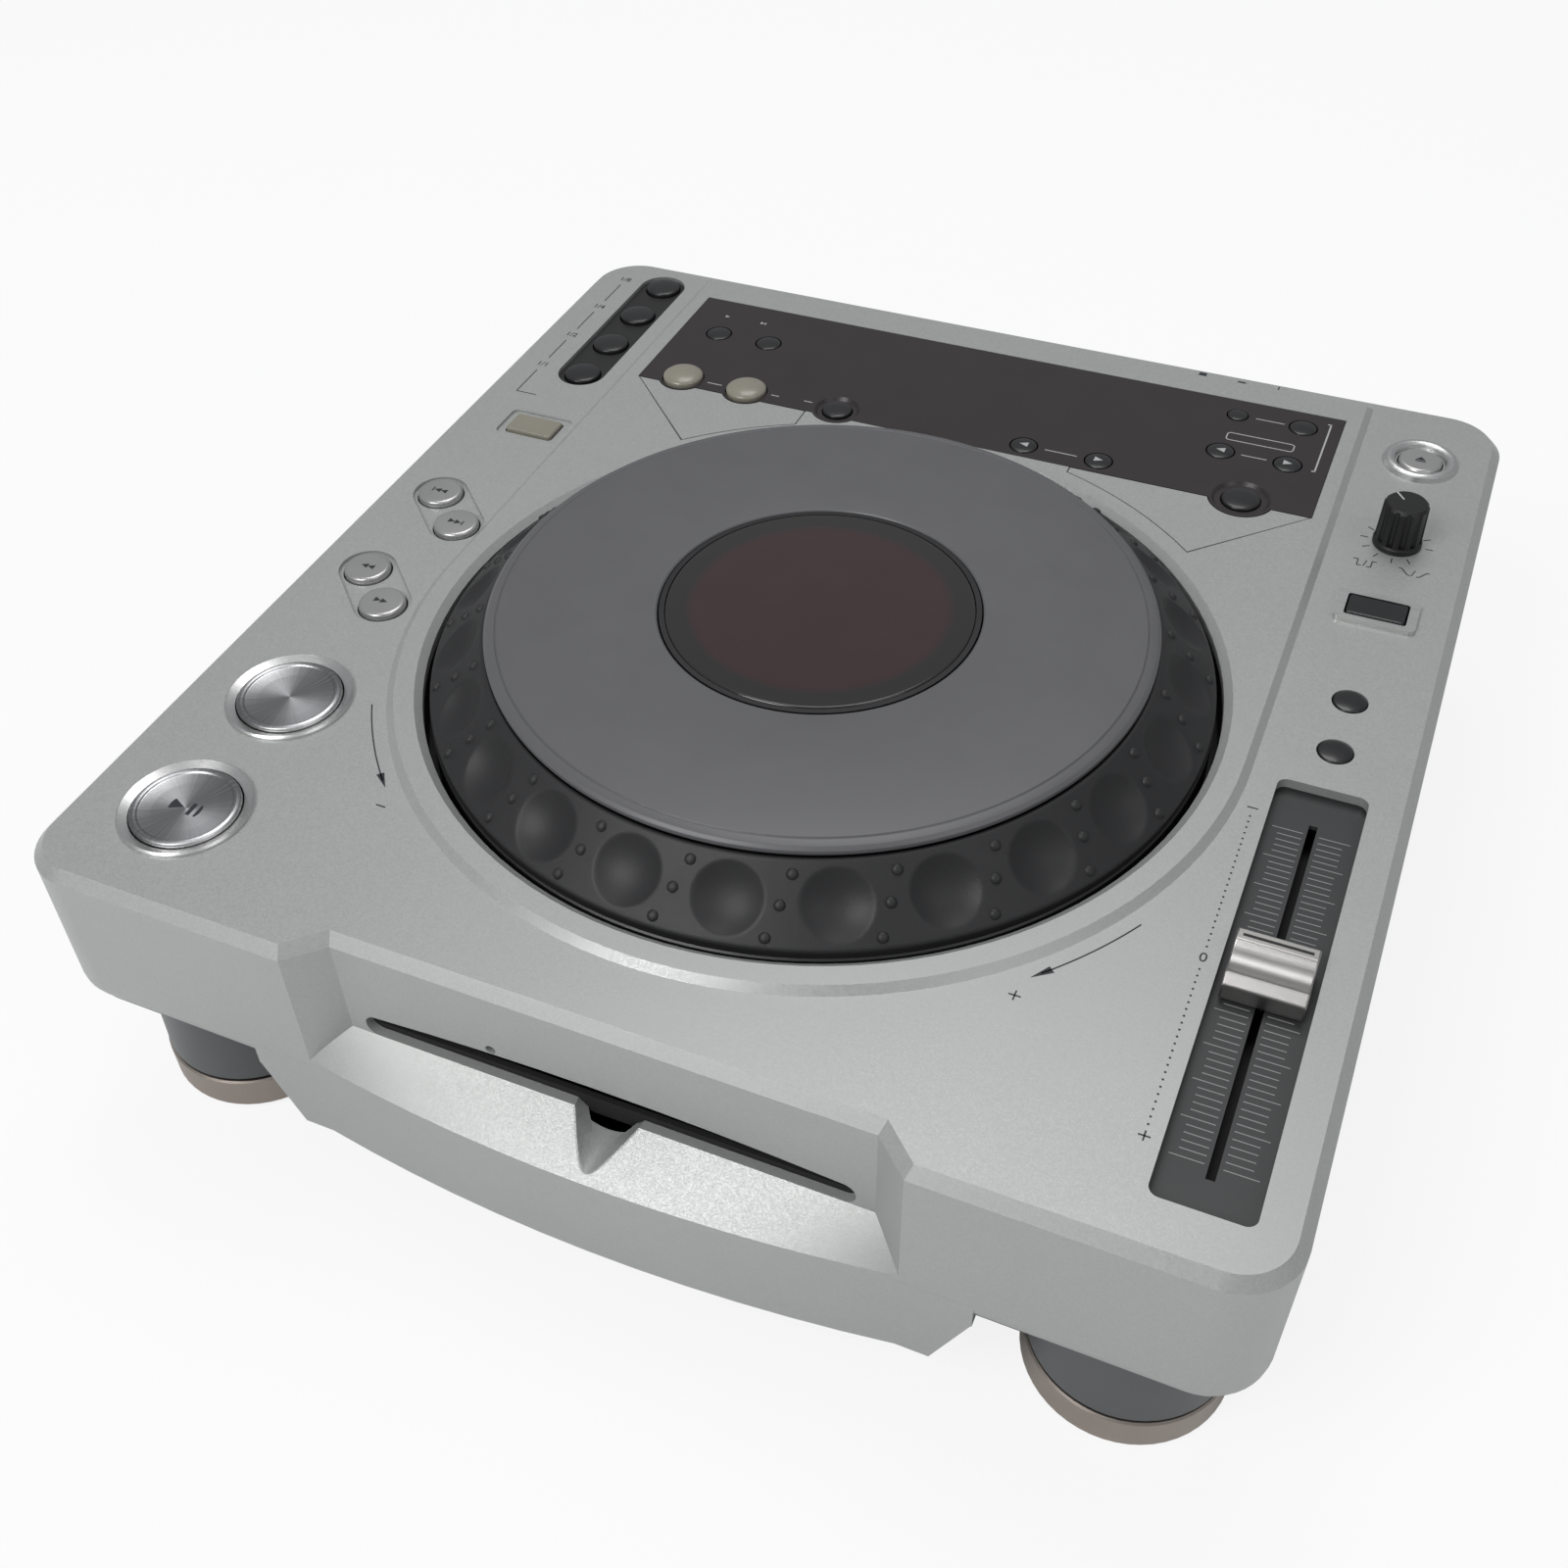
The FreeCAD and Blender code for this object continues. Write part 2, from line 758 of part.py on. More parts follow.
def panel_buttons():
    """Buttons on the display panel: side, distance in from that side edge, distance in from the
    back edge, or from the front edge for the front row, cap radius and how far it stands out."""
    back_rows = [("time_mode", -1, 13.1, 20.8, black_cap_r), ("text_mode", -1, 31.0, 20.8, black_cap_r),
                 ("delete", 1, 31.1, 8.6, tiny_cap_r), ("memory", 1, 11.2, 8.6, black_cap_r),
                 ("call_back", 1, 31.6, 29.8, black_cap_r),
                 ("call_forward", 1, 11.7, 29.8, black_cap_r)]
    front_row = [("cue_in", -1, 13.8, 4.2, pearl_cap_r, pearl_proud),
                 ("cue_out", -1, 36.0, 4.0, pearl_cap_r, pearl_proud),
                 ("reloop", -1, 66.8, 4.5, ring_cap_r, ring_proud),
                 ("folder_back", 1, 87.0, 6.0, black_cap_r, black_proud),
                 ("folder_forward", 1, 63.9, 6.0, black_cap_r, black_proud),
                 ("quick_return", 1, 20.6, 2.5, quick_cap_r, ring_proud)]
    back = back_y - panel_back
    front = back - panel_d
    found = [(name, side * (panel_half - inset), back - down, r, plateau_h + black_proud)
             for name, side, inset, down, r in back_rows]
    found += [(name, side * (panel_half - inset), front + up, r, plateau_h + proud)
              for name, side, inset, up, r, proud in front_row]
    return found


def lobe_places():
    """Dark rings that reach past the front edge of the display panel."""
    rings = {"cue_in": pearl_rim_r, "cue_out": pearl_rim_r, "reloop": ring_rim_r,
             "quick_return": quick_rim_r}
    return [(x, y, rings[name]) for name, x, y, r, proud in panel_buttons() if name in rings]


def inlay(grow, z0, z1):
    """Plan of the display panel with its round lobes, grown for its pocket."""
    plate = panel_outline(grow, z0, z1)
    return joined([plate] + [rod(x, y, z0, z1, r + grow) for x, y, r in lobe_places()])


def display_panel():
    z0 = deck_z - panel_t
    body = inlay(0, z0, deck_z)
    tools = [rod(x, y, z0 - 1, deck_z + 1, r + cap_gap) for name, x, y, r, top in panel_buttons()]
    for x, y, r in lobe_places():
        tools.append(Part.makeCone(r - dish_rim - dish_depth, r - dish_rim, dish_depth,
                                   V(x, y, deck_z - dish_depth)))
    return cut(body, tools)


def cheek_plates():
    z0 = deck_z - panel_t
    body = cheek_plan(-seam_gap / 2, z0, deck_z)
    return body.cut(inlay(seam_gap, z0 - 1, deck_z + 1))


def loop_strip():
    z1 = top_z - strip_recess
    body = round_box(strip_x, strip_y, 2 * strip_half - 2 * fader_fit, strip_len - 2 * fader_fit,
                     strip_half - 2 * fader_fit, z1 - strip_t, z1)
    holes = [rod(x, y, z1 - strip_t - 1, z1 + 1, r + cap_gap)
             for name, x, y, r, proud in button_list() if name.startswith("loop_")]
    return cut(body, holes)


def bezels():
    """Silver surrounds: two dished rings, the eject ring and the frame of the dial mode key."""
    rings = []
    profile = [(transport_ring_in, top_z), (transport_ring_r, top_z),
               (transport_ring_r, top_z + transport_ring_h - 0.5),
               (transport_ring_r - 0.5, top_z + transport_ring_h),
               (transport_ring_in, top_z + 0.2)]
    for y in (play_y, cue_y):
        rings.append(turned(profile, transport_x, y))
    width = eject_ring_r - eject_ring_in
    dome = [(eject_ring_in, top_z), (eject_ring_r, top_z)]
    for share in (0.15, 0.32, 0.5, 0.68, 0.85):
        r = eject_ring_r - share * width
        dome.append((r, top_z + eject_ring_h * math.sin(math.pi * (0.12 + 0.76 * share))))
    rings.append(turned(dome, fader_x, eject_y))
    frame = round_box(fader_x, mode_y, mode_bezel_w, mode_bezel_d, 1.6, top_z, top_z + mode_bezel_h)
    hole = round_box(fader_x, mode_y, mode_cap_w + 2 * cap_gap, mode_cap_d + 2 * cap_gap, 0.8,
                     top_z - 1, top_z + mode_bezel_h + 1)
    rings.append(frame.cut(hole))
    return rings


def fader_panel():
    """Shallow tray under the fader recess with the slot for the lever."""
    z1 = top_z - fader_recess_depth
    tray = round_box(fader_x, fader_y, fader_recess_w + 6, fader_recess_l + 6, fader_corner_r,
                     z1 - fader_panel_t, under_z)
    hollow = round_box(fader_x, fader_y, fader_recess_w, fader_recess_l, fader_corner_r,
                       z1, under_z + 1)
    slot_half_l = fader_travel / 2 + fader_lever_w / 2 + fader_slot_end
    slot = box(fader_x - fader_slot_w / 2, fader_x + fader_slot_w / 2,
               fader_y - slot_half_l, fader_y + slot_half_l, z1 - fader_panel_t - 1, z1 + 1)
    return cut(tray, [hollow, slot])


def control_pots():
    """Long body of the fader and the square body of the speed control."""
    z1 = top_z - fader_recess_depth - fader_panel_t
    half_l = fader_recess_l / 2
    half_w = fader_track_w / 2
    track = box(fader_x - half_w, fader_x + half_w, fader_y - half_l, fader_y + half_l,
                z1 - fader_track_h, z1)
    run = box(fader_x - fader_slot_w, fader_x + fader_slot_w, fader_y - half_l + fader_track_end,
              fader_y + half_l - fader_track_end, z1 - fader_track_h + 2, z1 + 1)
    half = 1.9 * shaft_r
    body = box(fader_x - half, fader_x + half, knob_y - half, knob_y + half,
               under_z - pot_h, under_z)
    bore = rod(fader_x, knob_y, under_z - pot_h + 1, under_z + 1, shaft_r + shaft_gap)
    return [track.cut(run), body.cut(bore)]


def fader_cap():
    """Grip with a scooped top on a flat lever that reaches down through the slot."""
    z0 = top_z - fader_recess_depth + fader_cap_lift
    z1 = z0 + fader_cap_h
    half = fader_cap_l / 2
    y_flat = half - 3.6
    scoop = Part.Arc(V(0, y_flat, z1), V(0, -0.6, z1 - fader_scoop), V(0, -half + 2.4, z1 - 0.5))
    run = [V(0, -half + 2.4, z1 - 0.5), V(0, -half, z1 - 2.6), V(0, -half, z0), V(0, half, z0),
           V(0, half, z1), V(0, y_flat, z1)]
    wire = Part.Wire([scoop.toShape()] + Part.makePolygon(run).Edges)
    grip = Part.Face(wire).extrude(V(fader_cap_w, 0, 0))
    grip.translate(V(fader_x - fader_cap_w / 2, fader_y, 0))
    z_low = top_z - fader_recess_depth - fader_panel_t - fader_track_h + 3
    lever = box(fader_x - fader_lever_t / 2, fader_x + fader_lever_t / 2,
                fader_y - fader_lever_w / 2, fader_y + fader_lever_w / 2, z_low, z0 + 1)
    return joined([grip, lever])


def speed_knob():
    """Fluted knob on a shaft, with its pointer groove on top."""
    z0, z1 = top_z + rest_gap, top_z + knob_h
    body = turned([(0, z0), (knob_skirt_r, z0), (knob_skirt_r, z0 + 1.2), (knob_r + 0.3, z0 + 1.6),
                   (knob_r, z1 - 0.8), (knob_r - 0.8, z1), (0, z1)], fader_x, knob_y)
    flutes = []
    for i in range(knob_flutes):
        a = 2 * math.pi * (i + 0.5) / knob_flutes
        r = knob_r + knob_flute_r * 0.45
        flutes.append(rod(fader_x + r * math.cos(a), knob_y + r * math.sin(a), z0 + 2, z1 + 1,
                          knob_flute_r))
    groove = box(-0.45, 0.45, knob_r * 0.25, knob_r + 1, z1 - 0.4, z1 + 1)
    groove.rotate(V(0, 0, 0), V(0, 0, 1), knob_pointer_turn)
    groove.translate(V(fader_x, knob_y, 0))
    shaft = rod(fader_x, knob_y, under_z - pot_h + 1.5, z0 + 1, shaft_r)
    return joined([cut(body, flutes + [groove]), shaft])


def push_button(x, y, r, proud):
    """Cap, two ears under the cover and a stem that ends over its switch."""
    z_flange = under_z - rest_gap - flange_t
    bevel = min(0.5, r * 0.2)
    z1 = top_z + proud
    cap = turned([(0, z_flange), (r, z_flange), (r, z1 - bevel), (r - bevel, z1), (0, z1)], x, y)
    half = r + flange_w
    ear = r * flange_share
    flange = box(x - half, x + half, y - ear, y + ear, z_flange, z_flange + flange_t)
    stem = box(x - stem_r, x + stem_r, y - stem_r, y + stem_r, stem_end_z, z_flange + 0.1)
    return joined([cap, flange, stem])


def key_button(x, y, w, d, proud):
    z_flange = under_z - rest_gap - flange_t
    z1 = top_z + proud
    cap = round_box(x, y, w, d, 1.0, z_flange, z1)
    top = [e for e in cap.Edges if e.BoundBox.ZMin > z1 - 0.01]
    cap = cap.makeChamfer(0.4, top)
    half_w, half_d = w / 2 + flange_w, d / 2 + flange_w
    flange = box(x - half_w, x + half_w, y - half_d, y + half_d, z_flange, z_flange + flange_t)
    stem = box(x - stem_r, x + stem_r, y - stem_r, y + stem_r, stem_end_z, z_flange + 0.1)
    return joined([cap, flange, stem])


def board_areas():
    """Plans of the three boards that carry the switches under the controls."""
    inner = tub_out_r + board_gap
    outer = side_x - wall_t - board_side_gap
    y0, y1 = front_y + board_front_gap, back_y - wall_t - board_back_gap
    return [(-outer, -inner, y0, y1), (inner, outer, fader_back_y + fader_track_end, y1),
            (-inner + 1, inner - 1, dial_y + inner, y1)]


def control_boards():
    parts = []
    for x0, x1, y0, y1 in board_areas():
        plate = box(x0, x1, y0, y1, board_z - board_t, board_z)
        for bx, by in board_posts():
            plate = plate.cut(box(bx - post_tip_half, bx + post_tip_half, by - post_tip_half,
                                  by + post_tip_half, board_z - board_t - 1, board_z + 1))
        parts.append(plate)
    half = switch_w / 2
    places = [(x, y) for name, x, y, r, proud in button_list() + panel_buttons()]
    places += [(reverse_x, reverse_y), (fader_x, mode_y)]
    parts += [box(x - half, x + half, y - half, y + half, board_z, switch_z) for x, y in places]
    return parts


def board_posts():
    """Places of the square posts under the cover that the boards are fixed to."""
    places = []
    for x0, x1, y0, y1 in board_areas():
        for x in (x0 + post_in_x, x1 - post_in_x):
            for y in (y0 + post_in_y, y1 - post_in_y):
                places.append((x, y))
    return places


# Dial

def dial_tub():
    """Round tub under the well with the fixed post that holds the middle display."""
    z0 = under_z - tub_depth
    zf = z0 + tub_t
    return turned([(post_r - post_wall, z0), (tub_out_r, z0), (tub_out_r, under_z),
                   (tub_in_r, under_z), (tub_in_r, zf), (post_r, zf), (post_r, head_z),
                   (head_r, head_z), (head_r, lens_z + lens_t - 0.2),
                   (lens_r + 0.2, lens_z + lens_t - 0.2), (lens_r + 0.2, lens_z),
                   (post_r - post_wall, lens_z)], 0, dial_y)


def dial_hub():
    """Carrier of the rubber ring, running on the post."""
    z0 = under_z - tub_depth + tub_t + dial_floor_gap
    r0 = post_r + bearing_gap
    low = ring_low_z - ring_edge_t
    high = ring_low_z + cone_h - ring_t * 1.35
    seat = ring_in_r - 5
    return turned([(r0, z0), (ring_out_r, z0), (ring_out_r, low), (ring_in_r, high),
                   (seat, high), (seat, high - hub_t), (ring_in_r - 1, high - hub_t),
                   (ring_out_r - hub_t, low - hub_t), (ring_out_r - hub_t, z0 + hub_t),
                   (r0 + hub_t, z0 + hub_t), (r0 + hub_t, head_z - 0.6), (r0, head_z - 0.6)],
                  0, dial_y)


def dial_ring():
    """Rubber ring on the slope, with round dimples for the fingers."""
    high = ring_low_z + cone_h
    body = turned([(ring_out_r, ring_low_z - ring_edge_t), (ring_out_r, ring_low_z),
                   (ring_in_r, high), (ring_in_r, high - ring_t * 1.35)], 0, dial_y)
    tilt = math.atan2(cone_w, cone_h)
    ball_r = (dimple_r ** 2 + dimple_depth ** 2) / (2 * dimple_depth)
    lift = ball_r - dimple_depth
    r = (ring_in_r + ring_out_r) / 2 + lift * math.cos(tilt)
    z = ring_low_z + cone_h / 2 + lift * math.sin(tilt)
    tools = []
    for i in range(dimple_count):
        a = math.radians(dimple_phase) + 2 * math.pi * i / dimple_count
        tools.append(Part.makeSphere(ball_r, V(r * math.cos(a), dial_y + r * math.sin(a), z)))
    return cut(body, tools)


def touch_plate():
    """Flat top of the dial, which gives a little when it is pressed."""
    z1 = lens_z + lens_t
    r1 = ring_in_r - plate_overhang
    z_skirt = ring_low_z + cone_h - ring_t * 1.35 + plate_press + rest_gap
    return turned([(lens_r + lens_gap, z1 - plate_t), (ring_in_r - 4, z1 - plate_t),
                   (ring_in_r - 4, z_skirt), (ring_in_r - 2, z_skirt),
                   (ring_in_r - 2, z1 - plate_t - plate_bevel), (r1, z1 - plate_t - plate_bevel + 0.6),
                   (r1, z1 - plate_bevel), (r1 - plate_bevel, z1 - 0.4),
                   (r1 - plate_groove_in, z1), (lens_r + lens_gap, z1)], 0, dial_y)


def displays():
    """Round display in the post and the long one behind the dark panel."""
    z1 = lens_z - rest_gap
    disc = rod(0, dial_y, z1 - display_t, z1, post_r - post_wall - rest_gap)
    back = back_y - panel_back - module_back
    z2 = deck_z - panel_t - rest_gap
    left, right = module_left_in - panel_half, panel_half - module_right_in
    return [disc, box(left, right, back - module_d, back, z2 - display_t, z2)]


# Feet

def foot_places():
    x = side_x - foot_inset_x
    y0, y1 = front_y + foot_inset_y, back_y - foot_inset_y
    return [(-x, y0), (x, y0), (-x, y1), (x, y1)]


def foot_collars():
    z0 = foot_h - foot_collar_h
    z_ring = z0 - foot_groove_h
    profile = [(0, z_ring), (foot_collar_r - foot_groove_in, z_ring),
               (foot_collar_r - foot_groove_in, z0), (foot_collar_r, z0),
               (foot_collar_r - 0.6, foot_h), (0, foot_h)]
    return [turned(profile, x, y) for x, y in foot_places()]


def foot_rings():
    z1 = foot_h - foot_collar_h - foot_groove_h
    bore = foot_pad_r + 0.3
    profile = [(bore, foot_pad_out), (foot_ring_r - 1.2, foot_pad_out),
               (foot_ring_r, foot_pad_out + 1.2), (foot_ring_r, z1 - 0.5), (foot_ring_r - 0.5, z1),
               (0, z1), (0, foot_pad_h), (bore, foot_pad_h)]
    return [turned(profile, x, y) for x, y in foot_places()]


def foot_pads():
    return [rod(x, y, 0, foot_pad_h, foot_pad_r) for x, y in foot_places()]


# Bottom and insides

def bottom_pan():
    """Floor pan with the trough that hangs in the middle."""
    inset = wall_t + pan_gap
    plate = prism(case_outline(inset), pan_z, pan_z + pan_t)
    for bx, by in boss_places():
        plate = plate.cut(rod(bx, by, pan_z - 1, pan_z + pan_t + 1, pan_hole_r))
    y0, y1 = front_y + inset, back_y - belly_back_gap
    top, low = belly_top_half - inset, belly_top_half - belly_flank - inset
    trough = trough_wire(top, low, belly_z, pan_z + pan_t)
    inner = trough_wire(top - pan_t, low - pan_t, belly_z + pan_t, pan_z + pan_t + 1)
    body = joined([plate, through_y(trough, y0, y1)])
    return body.cut(through_y(inner, y0 + pan_t, y1 - pan_t))


def trough_wire(top, low, z0, z1):
    points = [V(-low, 0, z0), V(low, 0, z0), V(top, 0, z1), V(-top, 0, z1)]
    return Part.makePolygon(points + [points[0]])


def slot_felt():
    """Felt plate behind the slot wall with the narrow mouth that the disc passes."""
    y0 = slot_wall_y + wall_t
    z0 = top_z - shelf_top_drop
    plate = box(-slot_half - felt_margin, slot_half + felt_margin, y0, y0 + felt_t,
                z0 - felt_margin, z0 + slot_end_h + slot_arch + felt_margin)
    mouth = slot_wire(slot_half - 0.5, felt_gap_end, slot_arch, z0 + felt_floor_h)
    return plate.cut(through_y(mouth, y0 - 1, y0 + felt_t + 1))


def drive_frame():
    """Sheet-metal cradle of the disc drive, standing in the trough, with the bracket that the
    traverse rests on."""
    y0, y1 = drive_front_y, drive_back_y
    z0, z1 = belly_z + pan_t, disc_z + guide_rise
    half = drive_wall / 2
    walls = [box(s * drive_half - half, s * drive_half + half, y0, y1, z0, z1) for s in (-1, 1)]
    floor_z = z0 + drive_floor_h
    plate = box(-drive_half, drive_half, y0, y1, floor_z, floor_z + drive_wall)
    window = round_box(0, spindle_y + drive_window_d / 4, drive_window_w, drive_window_d,
                       drive_corner_r, floor_z - 1, floor_z + drive_wall + 1)
    rest_z = traverse_z - traverse_t - 0.01
    post_y = spindle_y - bracket_back
    post = box(-bracket_half, bracket_half, post_y, post_y + bracket_t, floor_z, rest_z)
    shelf = box(-bracket_half, bracket_half, post_y, spindle_y - spindle_front + bracket_t,
                rest_z - drive_wall, rest_z)
    bores = [along_x(drive_half + 2 * drive_wall, roller_y, roller_z, roller_shaft_r + shaft_gap),
             along_x(drive_half + 2 * drive_wall, pivot_y, pivot_z, pivot_r + shaft_gap)]
    return cut(joined(walls + [plate.cut(window), post, shelf]), bores)


def disc_guide():
    z0 = disc_z + guide_rise
    half = drive_half + drive_wall / 2
    plate = box(-half, half, drive_front_y, drive_back_y, z0, z0 + guide_t)
    return plate.cut(rod(0, spindle_y, z0 - 1, z0 + guide_t + 1, hub_table_r + 2))


def loading_roller():
    shaft = along_x(drive_half + drive_wall, roller_y, roller_z, roller_shaft_r)
    tyre = along_x(roller_half, roller_y, roller_z, roller_r)
    return joined([shaft, tyre])


def traverse():
    """Lifting plate with the spindle motor and the rods that the pickup slides on."""
    z1 = traverse_z
    half = traverse_w / 2
    plate = box(-half, half, spindle_y - spindle_front, pivot_y, z1 - traverse_t, z1)
    tube = along_x(drive_half + drive_wall, pivot_y, pivot_z, pivot_r)
    y0, y1 = spindle_y + motor_r + 1, sled_end_y
    window = box(-half + traverse_window_in, half - traverse_window_in, y0 + 2, y1 - 2,
                 z1 - traverse_t - 1, z1 + 1)
    blocks = []
    for x in (-rod_half, rod_half):
        for y in (y0 - rod_block, y1):
            blocks.append(box(x - rod_block, x + rod_block, y, y + rod_block, z1 - 0.1,
                              rod_z + rod_r + 1))
    motor = rod(0, spindle_y, z1 - 0.1, z1 + motor_h, motor_r)
    rods = [along_y(x, rod_z, y0 - 1, y1 + 1, rod_r) for x in (-rod_half, rod_half)]
    return joined([plate.cut(window), tube, motor] + blocks + rods)


def turntable():
    """Disc table with its centring cone, on the motor's shaft."""
    z0 = traverse_z + motor_h + rest_gap
    low = table_z - hub_table_t
    return turned([(0, z0), (hub_neck_r, z0), (hub_neck_r, low), (hub_table_r, low),
                   (hub_table_r, table_z), (hub_cone_r, table_z),
                   (hub_cone_r - hub_cone_h, table_z + hub_cone_h), (0, table_z + hub_cone_h)],
                  0, spindle_y)


def pickup_sled():
    y = spindle_y + sled_start
    half = sled_w / 2
    z1 = rod_z + sled_h / 2
    body = box(-half, half, y - sled_d / 2, y + sled_d / 2, z1 - sled_h, z1)
    lens = rod(0, y, z1 - 0.1, z1 + pickup_lens_h, pickup_lens_r)
    bores = [along_y(x, rod_z, y - sled_d, y + sled_d, rod_r + shaft_gap)
             for x in (-rod_half, rod_half)]
    return cut(joined([body, lens]), bores)


def on_standoffs(x0, x1, y0, y1):
    """Board on four square posts that stand on the floor pan."""
    z0 = pan_z + pan_t
    z1 = z0 + standoff_h
    parts = [box(x0, x1, y0, y1, z1, z1 + board_t)]
    for x in (x0 + standoff_in, x1 - standoff_in):
        for y in (y0 + standoff_in, y1 - standoff_in):
            parts.append(box(x - 2, x + 2, y - 2, y + 2, z0, z1))
    return parts


def main_board():
    """Board with its chips, on the left of the floor pan."""
    x0, x1 = -side_x + wall_t + board_side_in, -belly_top_half - 2
    y0 = front_y + main_board_front
    parts = on_standoffs(x0, x1, y0, y0 + main_board_len)
    z0 = pan_z + pan_t + standoff_h + board_t
    middle_x = (x0 + x1) / 2
    for i in range(chip_count):
        y = y0 + (i + 0.5) * main_board_len / chip_count
        parts.append(box(middle_x - chip_w / 2, middle_x + chip_w / 2, y - chip_w / 2,
                         y + chip_w / 2, z0, z0 + chip_h))
    return parts


def power_supply():
    """Board with a transformer and two capacitors, on the right of the floor pan."""
    x0, x1 = belly_top_half + 2, side_x - wall_t - board_side_in
    y1 = back_y - supply_back
    y0 = y1 - supply_len
    parts = on_standoffs(x0, x1, y0, y1)
    z0 = pan_z + pan_t + standoff_h + board_t
    parts.append(box(x0 + 4, x0 + 4 + transformer_w, y1 - 10 - transformer_w, y1 - 10,
                     z0, z0 + transformer_h))
    for i in range(capacitor_count):
        parts.append(rod(x0 + 11 + 2.5 * capacitor_r * i, y0 + 16, z0, z0 + capacitor_h,
                         capacitor_r))
    return parts


# Rear connectors

def inlet_x():
    return -rear_panel_w / 2 + inlet_from_end


def jack_places():
    first = -jack_pitch
    return [(first, rear_z), (first + jack_pitch, rear_z), (first + digital_step, rear_z)]


def rear_panel():
    y1 = back_y - wall_t
    half = rear_panel_w / 2
    plate = box(-half, half, y1 - rear_panel_t, y1, rear_z - rear_panel_h / 2, rear_z + rear_panel_h / 2)
    z = rear_z
    tools = [along_y(x, z, y1 - rear_panel_t - 1, y1 + 1, jack_r - jack_neck_in + hole_gap)
             for x, z in jack_places()]
    tools.append(box(inlet_x() - inlet_w / 2, inlet_x() + inlet_w / 2, y1 - 3, y1 + 1,
                     z - inlet_h / 2, z + inlet_h / 2))
    tools.append(box(power_x - power_w / 2 - cap_gap, power_x + power_w / 2 + cap_gap, y1 - 3, y1 + 1,
                     z - power_h / 2 - cap_gap, z + power_h / 2 + cap_gap))
    return cut(plate, tools)


def signal_jacks():
    """Barrels of the audio and digital sockets on a neck through the panel, with their bodies
    behind it."""
    y1 = back_y - wall_t
    tip_y = back_y + jack_reach
    parts = []
    for x, z in jack_places():
        barrel = along_y(x, z, y1 + jack_neck, tip_y, jack_r)
        neck = along_y(x, z, y1 - rear_panel_t, y1 + jack_neck, jack_r - jack_neck_in)
        body = along_y(x, z, y1 - rear_panel_t - jack_body_len, y1 - rear_panel_t, jack_flange_r)
        bore = along_y(x, z, tip_y - jack_bore_depth, tip_y + 1, jack_bore_r)
        parts.append(joined([barrel, neck, body]).cut(bore))
    return parts


def mains_inlet():
    """Block with its two-pin socket, open to the back."""
    y1 = back_y - wall_t
    x, z = inlet_x(), rear_z
    face_y = y1 + inlet_out
    half_w, half_h = inlet_w / 2, inlet_h / 2
    block = box(x - half_w + inlet_gap, x + half_w - inlet_gap, face_y - inlet_depth, face_y,
                z - half_h + inlet_gap, z + half_h - inlet_gap)
    flange = box(x - half_w - flange_out, x + half_w + flange_out,
                 y1 - rear_panel_t - flange_depth, y1 - rear_panel_t,
                 z - half_h - flange_out, z + half_h + flange_out)
    cavity = through_y(slot_wire(socket_w / 2, socket_h, 0.01, 0), face_y - socket_depth, face_y + 1)
    cavity.translate(V(x, 0, z - socket_h / 2))
    root_y = face_y - socket_depth - 0.5
    pins = [along_y(x + s * socket_pin_half, z, root_y, root_y + socket_pin_len, socket_pin_r)
            for s in (-1, 1)]
    return joined([joined([block, flange]).cut(cavity)] + pins)


def power_button():
    """Push button through the rear panel with a flange behind it."""
    y1 = back_y - wall_t
    z = rear_z
    half_w, half_h = power_w / 2, power_h / 2
    y_stop = y1 - rear_panel_t - rest_gap
    cap = box(power_x - half_w, power_x + half_w, y_stop - power_stem, y1 + power_out,
              z - half_h, z + half_h)
    flange = box(power_x - half_w - flange_w, power_x + half_w + flange_w, y_stop - flange_t, y_stop,
                 z - half_h - flange_w, z + half_h + flange_w)
    return joined([cap, flange])


# Values that several pieces share
tub_in_r = well_r + 0.4
tub_out_r = tub_in_r + tub_t
ring_low_z = top_z + ring_rise
ring_out_r = well_r - dial_edge_gap
ring_in_r = ring_out_r - cone_w
lens_z = ring_low_z + cone_h + plate_over_ring - lens_t
head_z = lens_z - head_t
head_r = lens_r + 1.6
roller_y = drive_front_y + roller_back
roller_z = disc_z - roller_gap - roller_r
table_z = disc_z - disc_table_gap - hub_rest_drop
traverse_z = table_z - table_over_motor - motor_h
pivot_z = traverse_z - traverse_t / 2
rod_z = traverse_z + rod_drop

for node, shape in [("top_cover", top_cover()), ("display_panel", display_panel()),
                    ("loop_strip", loop_strip()), ("fader_panel", fader_panel()),
                    ("fader_cap", fader_cap()), ("speed_knob", speed_knob()),
                    ("jog_tub", dial_tub()), ("jog_hub", dial_hub()), ("jog_ring", dial_ring()),
                    ("touch_plate", touch_plate()),
                    ("display_lens", rod(0, dial_y, lens_z, lens_z + lens_t, lens_r)),
                    ("bottom_pan", bottom_pan()), ("slot_felt", slot_felt()),
                    ("drive_frame", drive_frame()), ("disc_guide", disc_guide()),
                    ("loading_roller", loading_roller()), ("traverse_plate", traverse()),
                    ("turntable_hub", turntable()), ("pickup_sled", pickup_sled()),
                    ("rear_panel", rear_panel()), ("mains_inlet", mains_inlet()),
                    ("power_button", power_button()),
                    ("reverse_button", key_button(reverse_x, reverse_y, reverse_w, reverse_d,
                                                  reverse_proud)),
                    ("jog_mode_button", key_button(fader_x, mode_y, mode_cap_w, mode_cap_d,
                                                   mode_proud))]:
    save(node, shape)

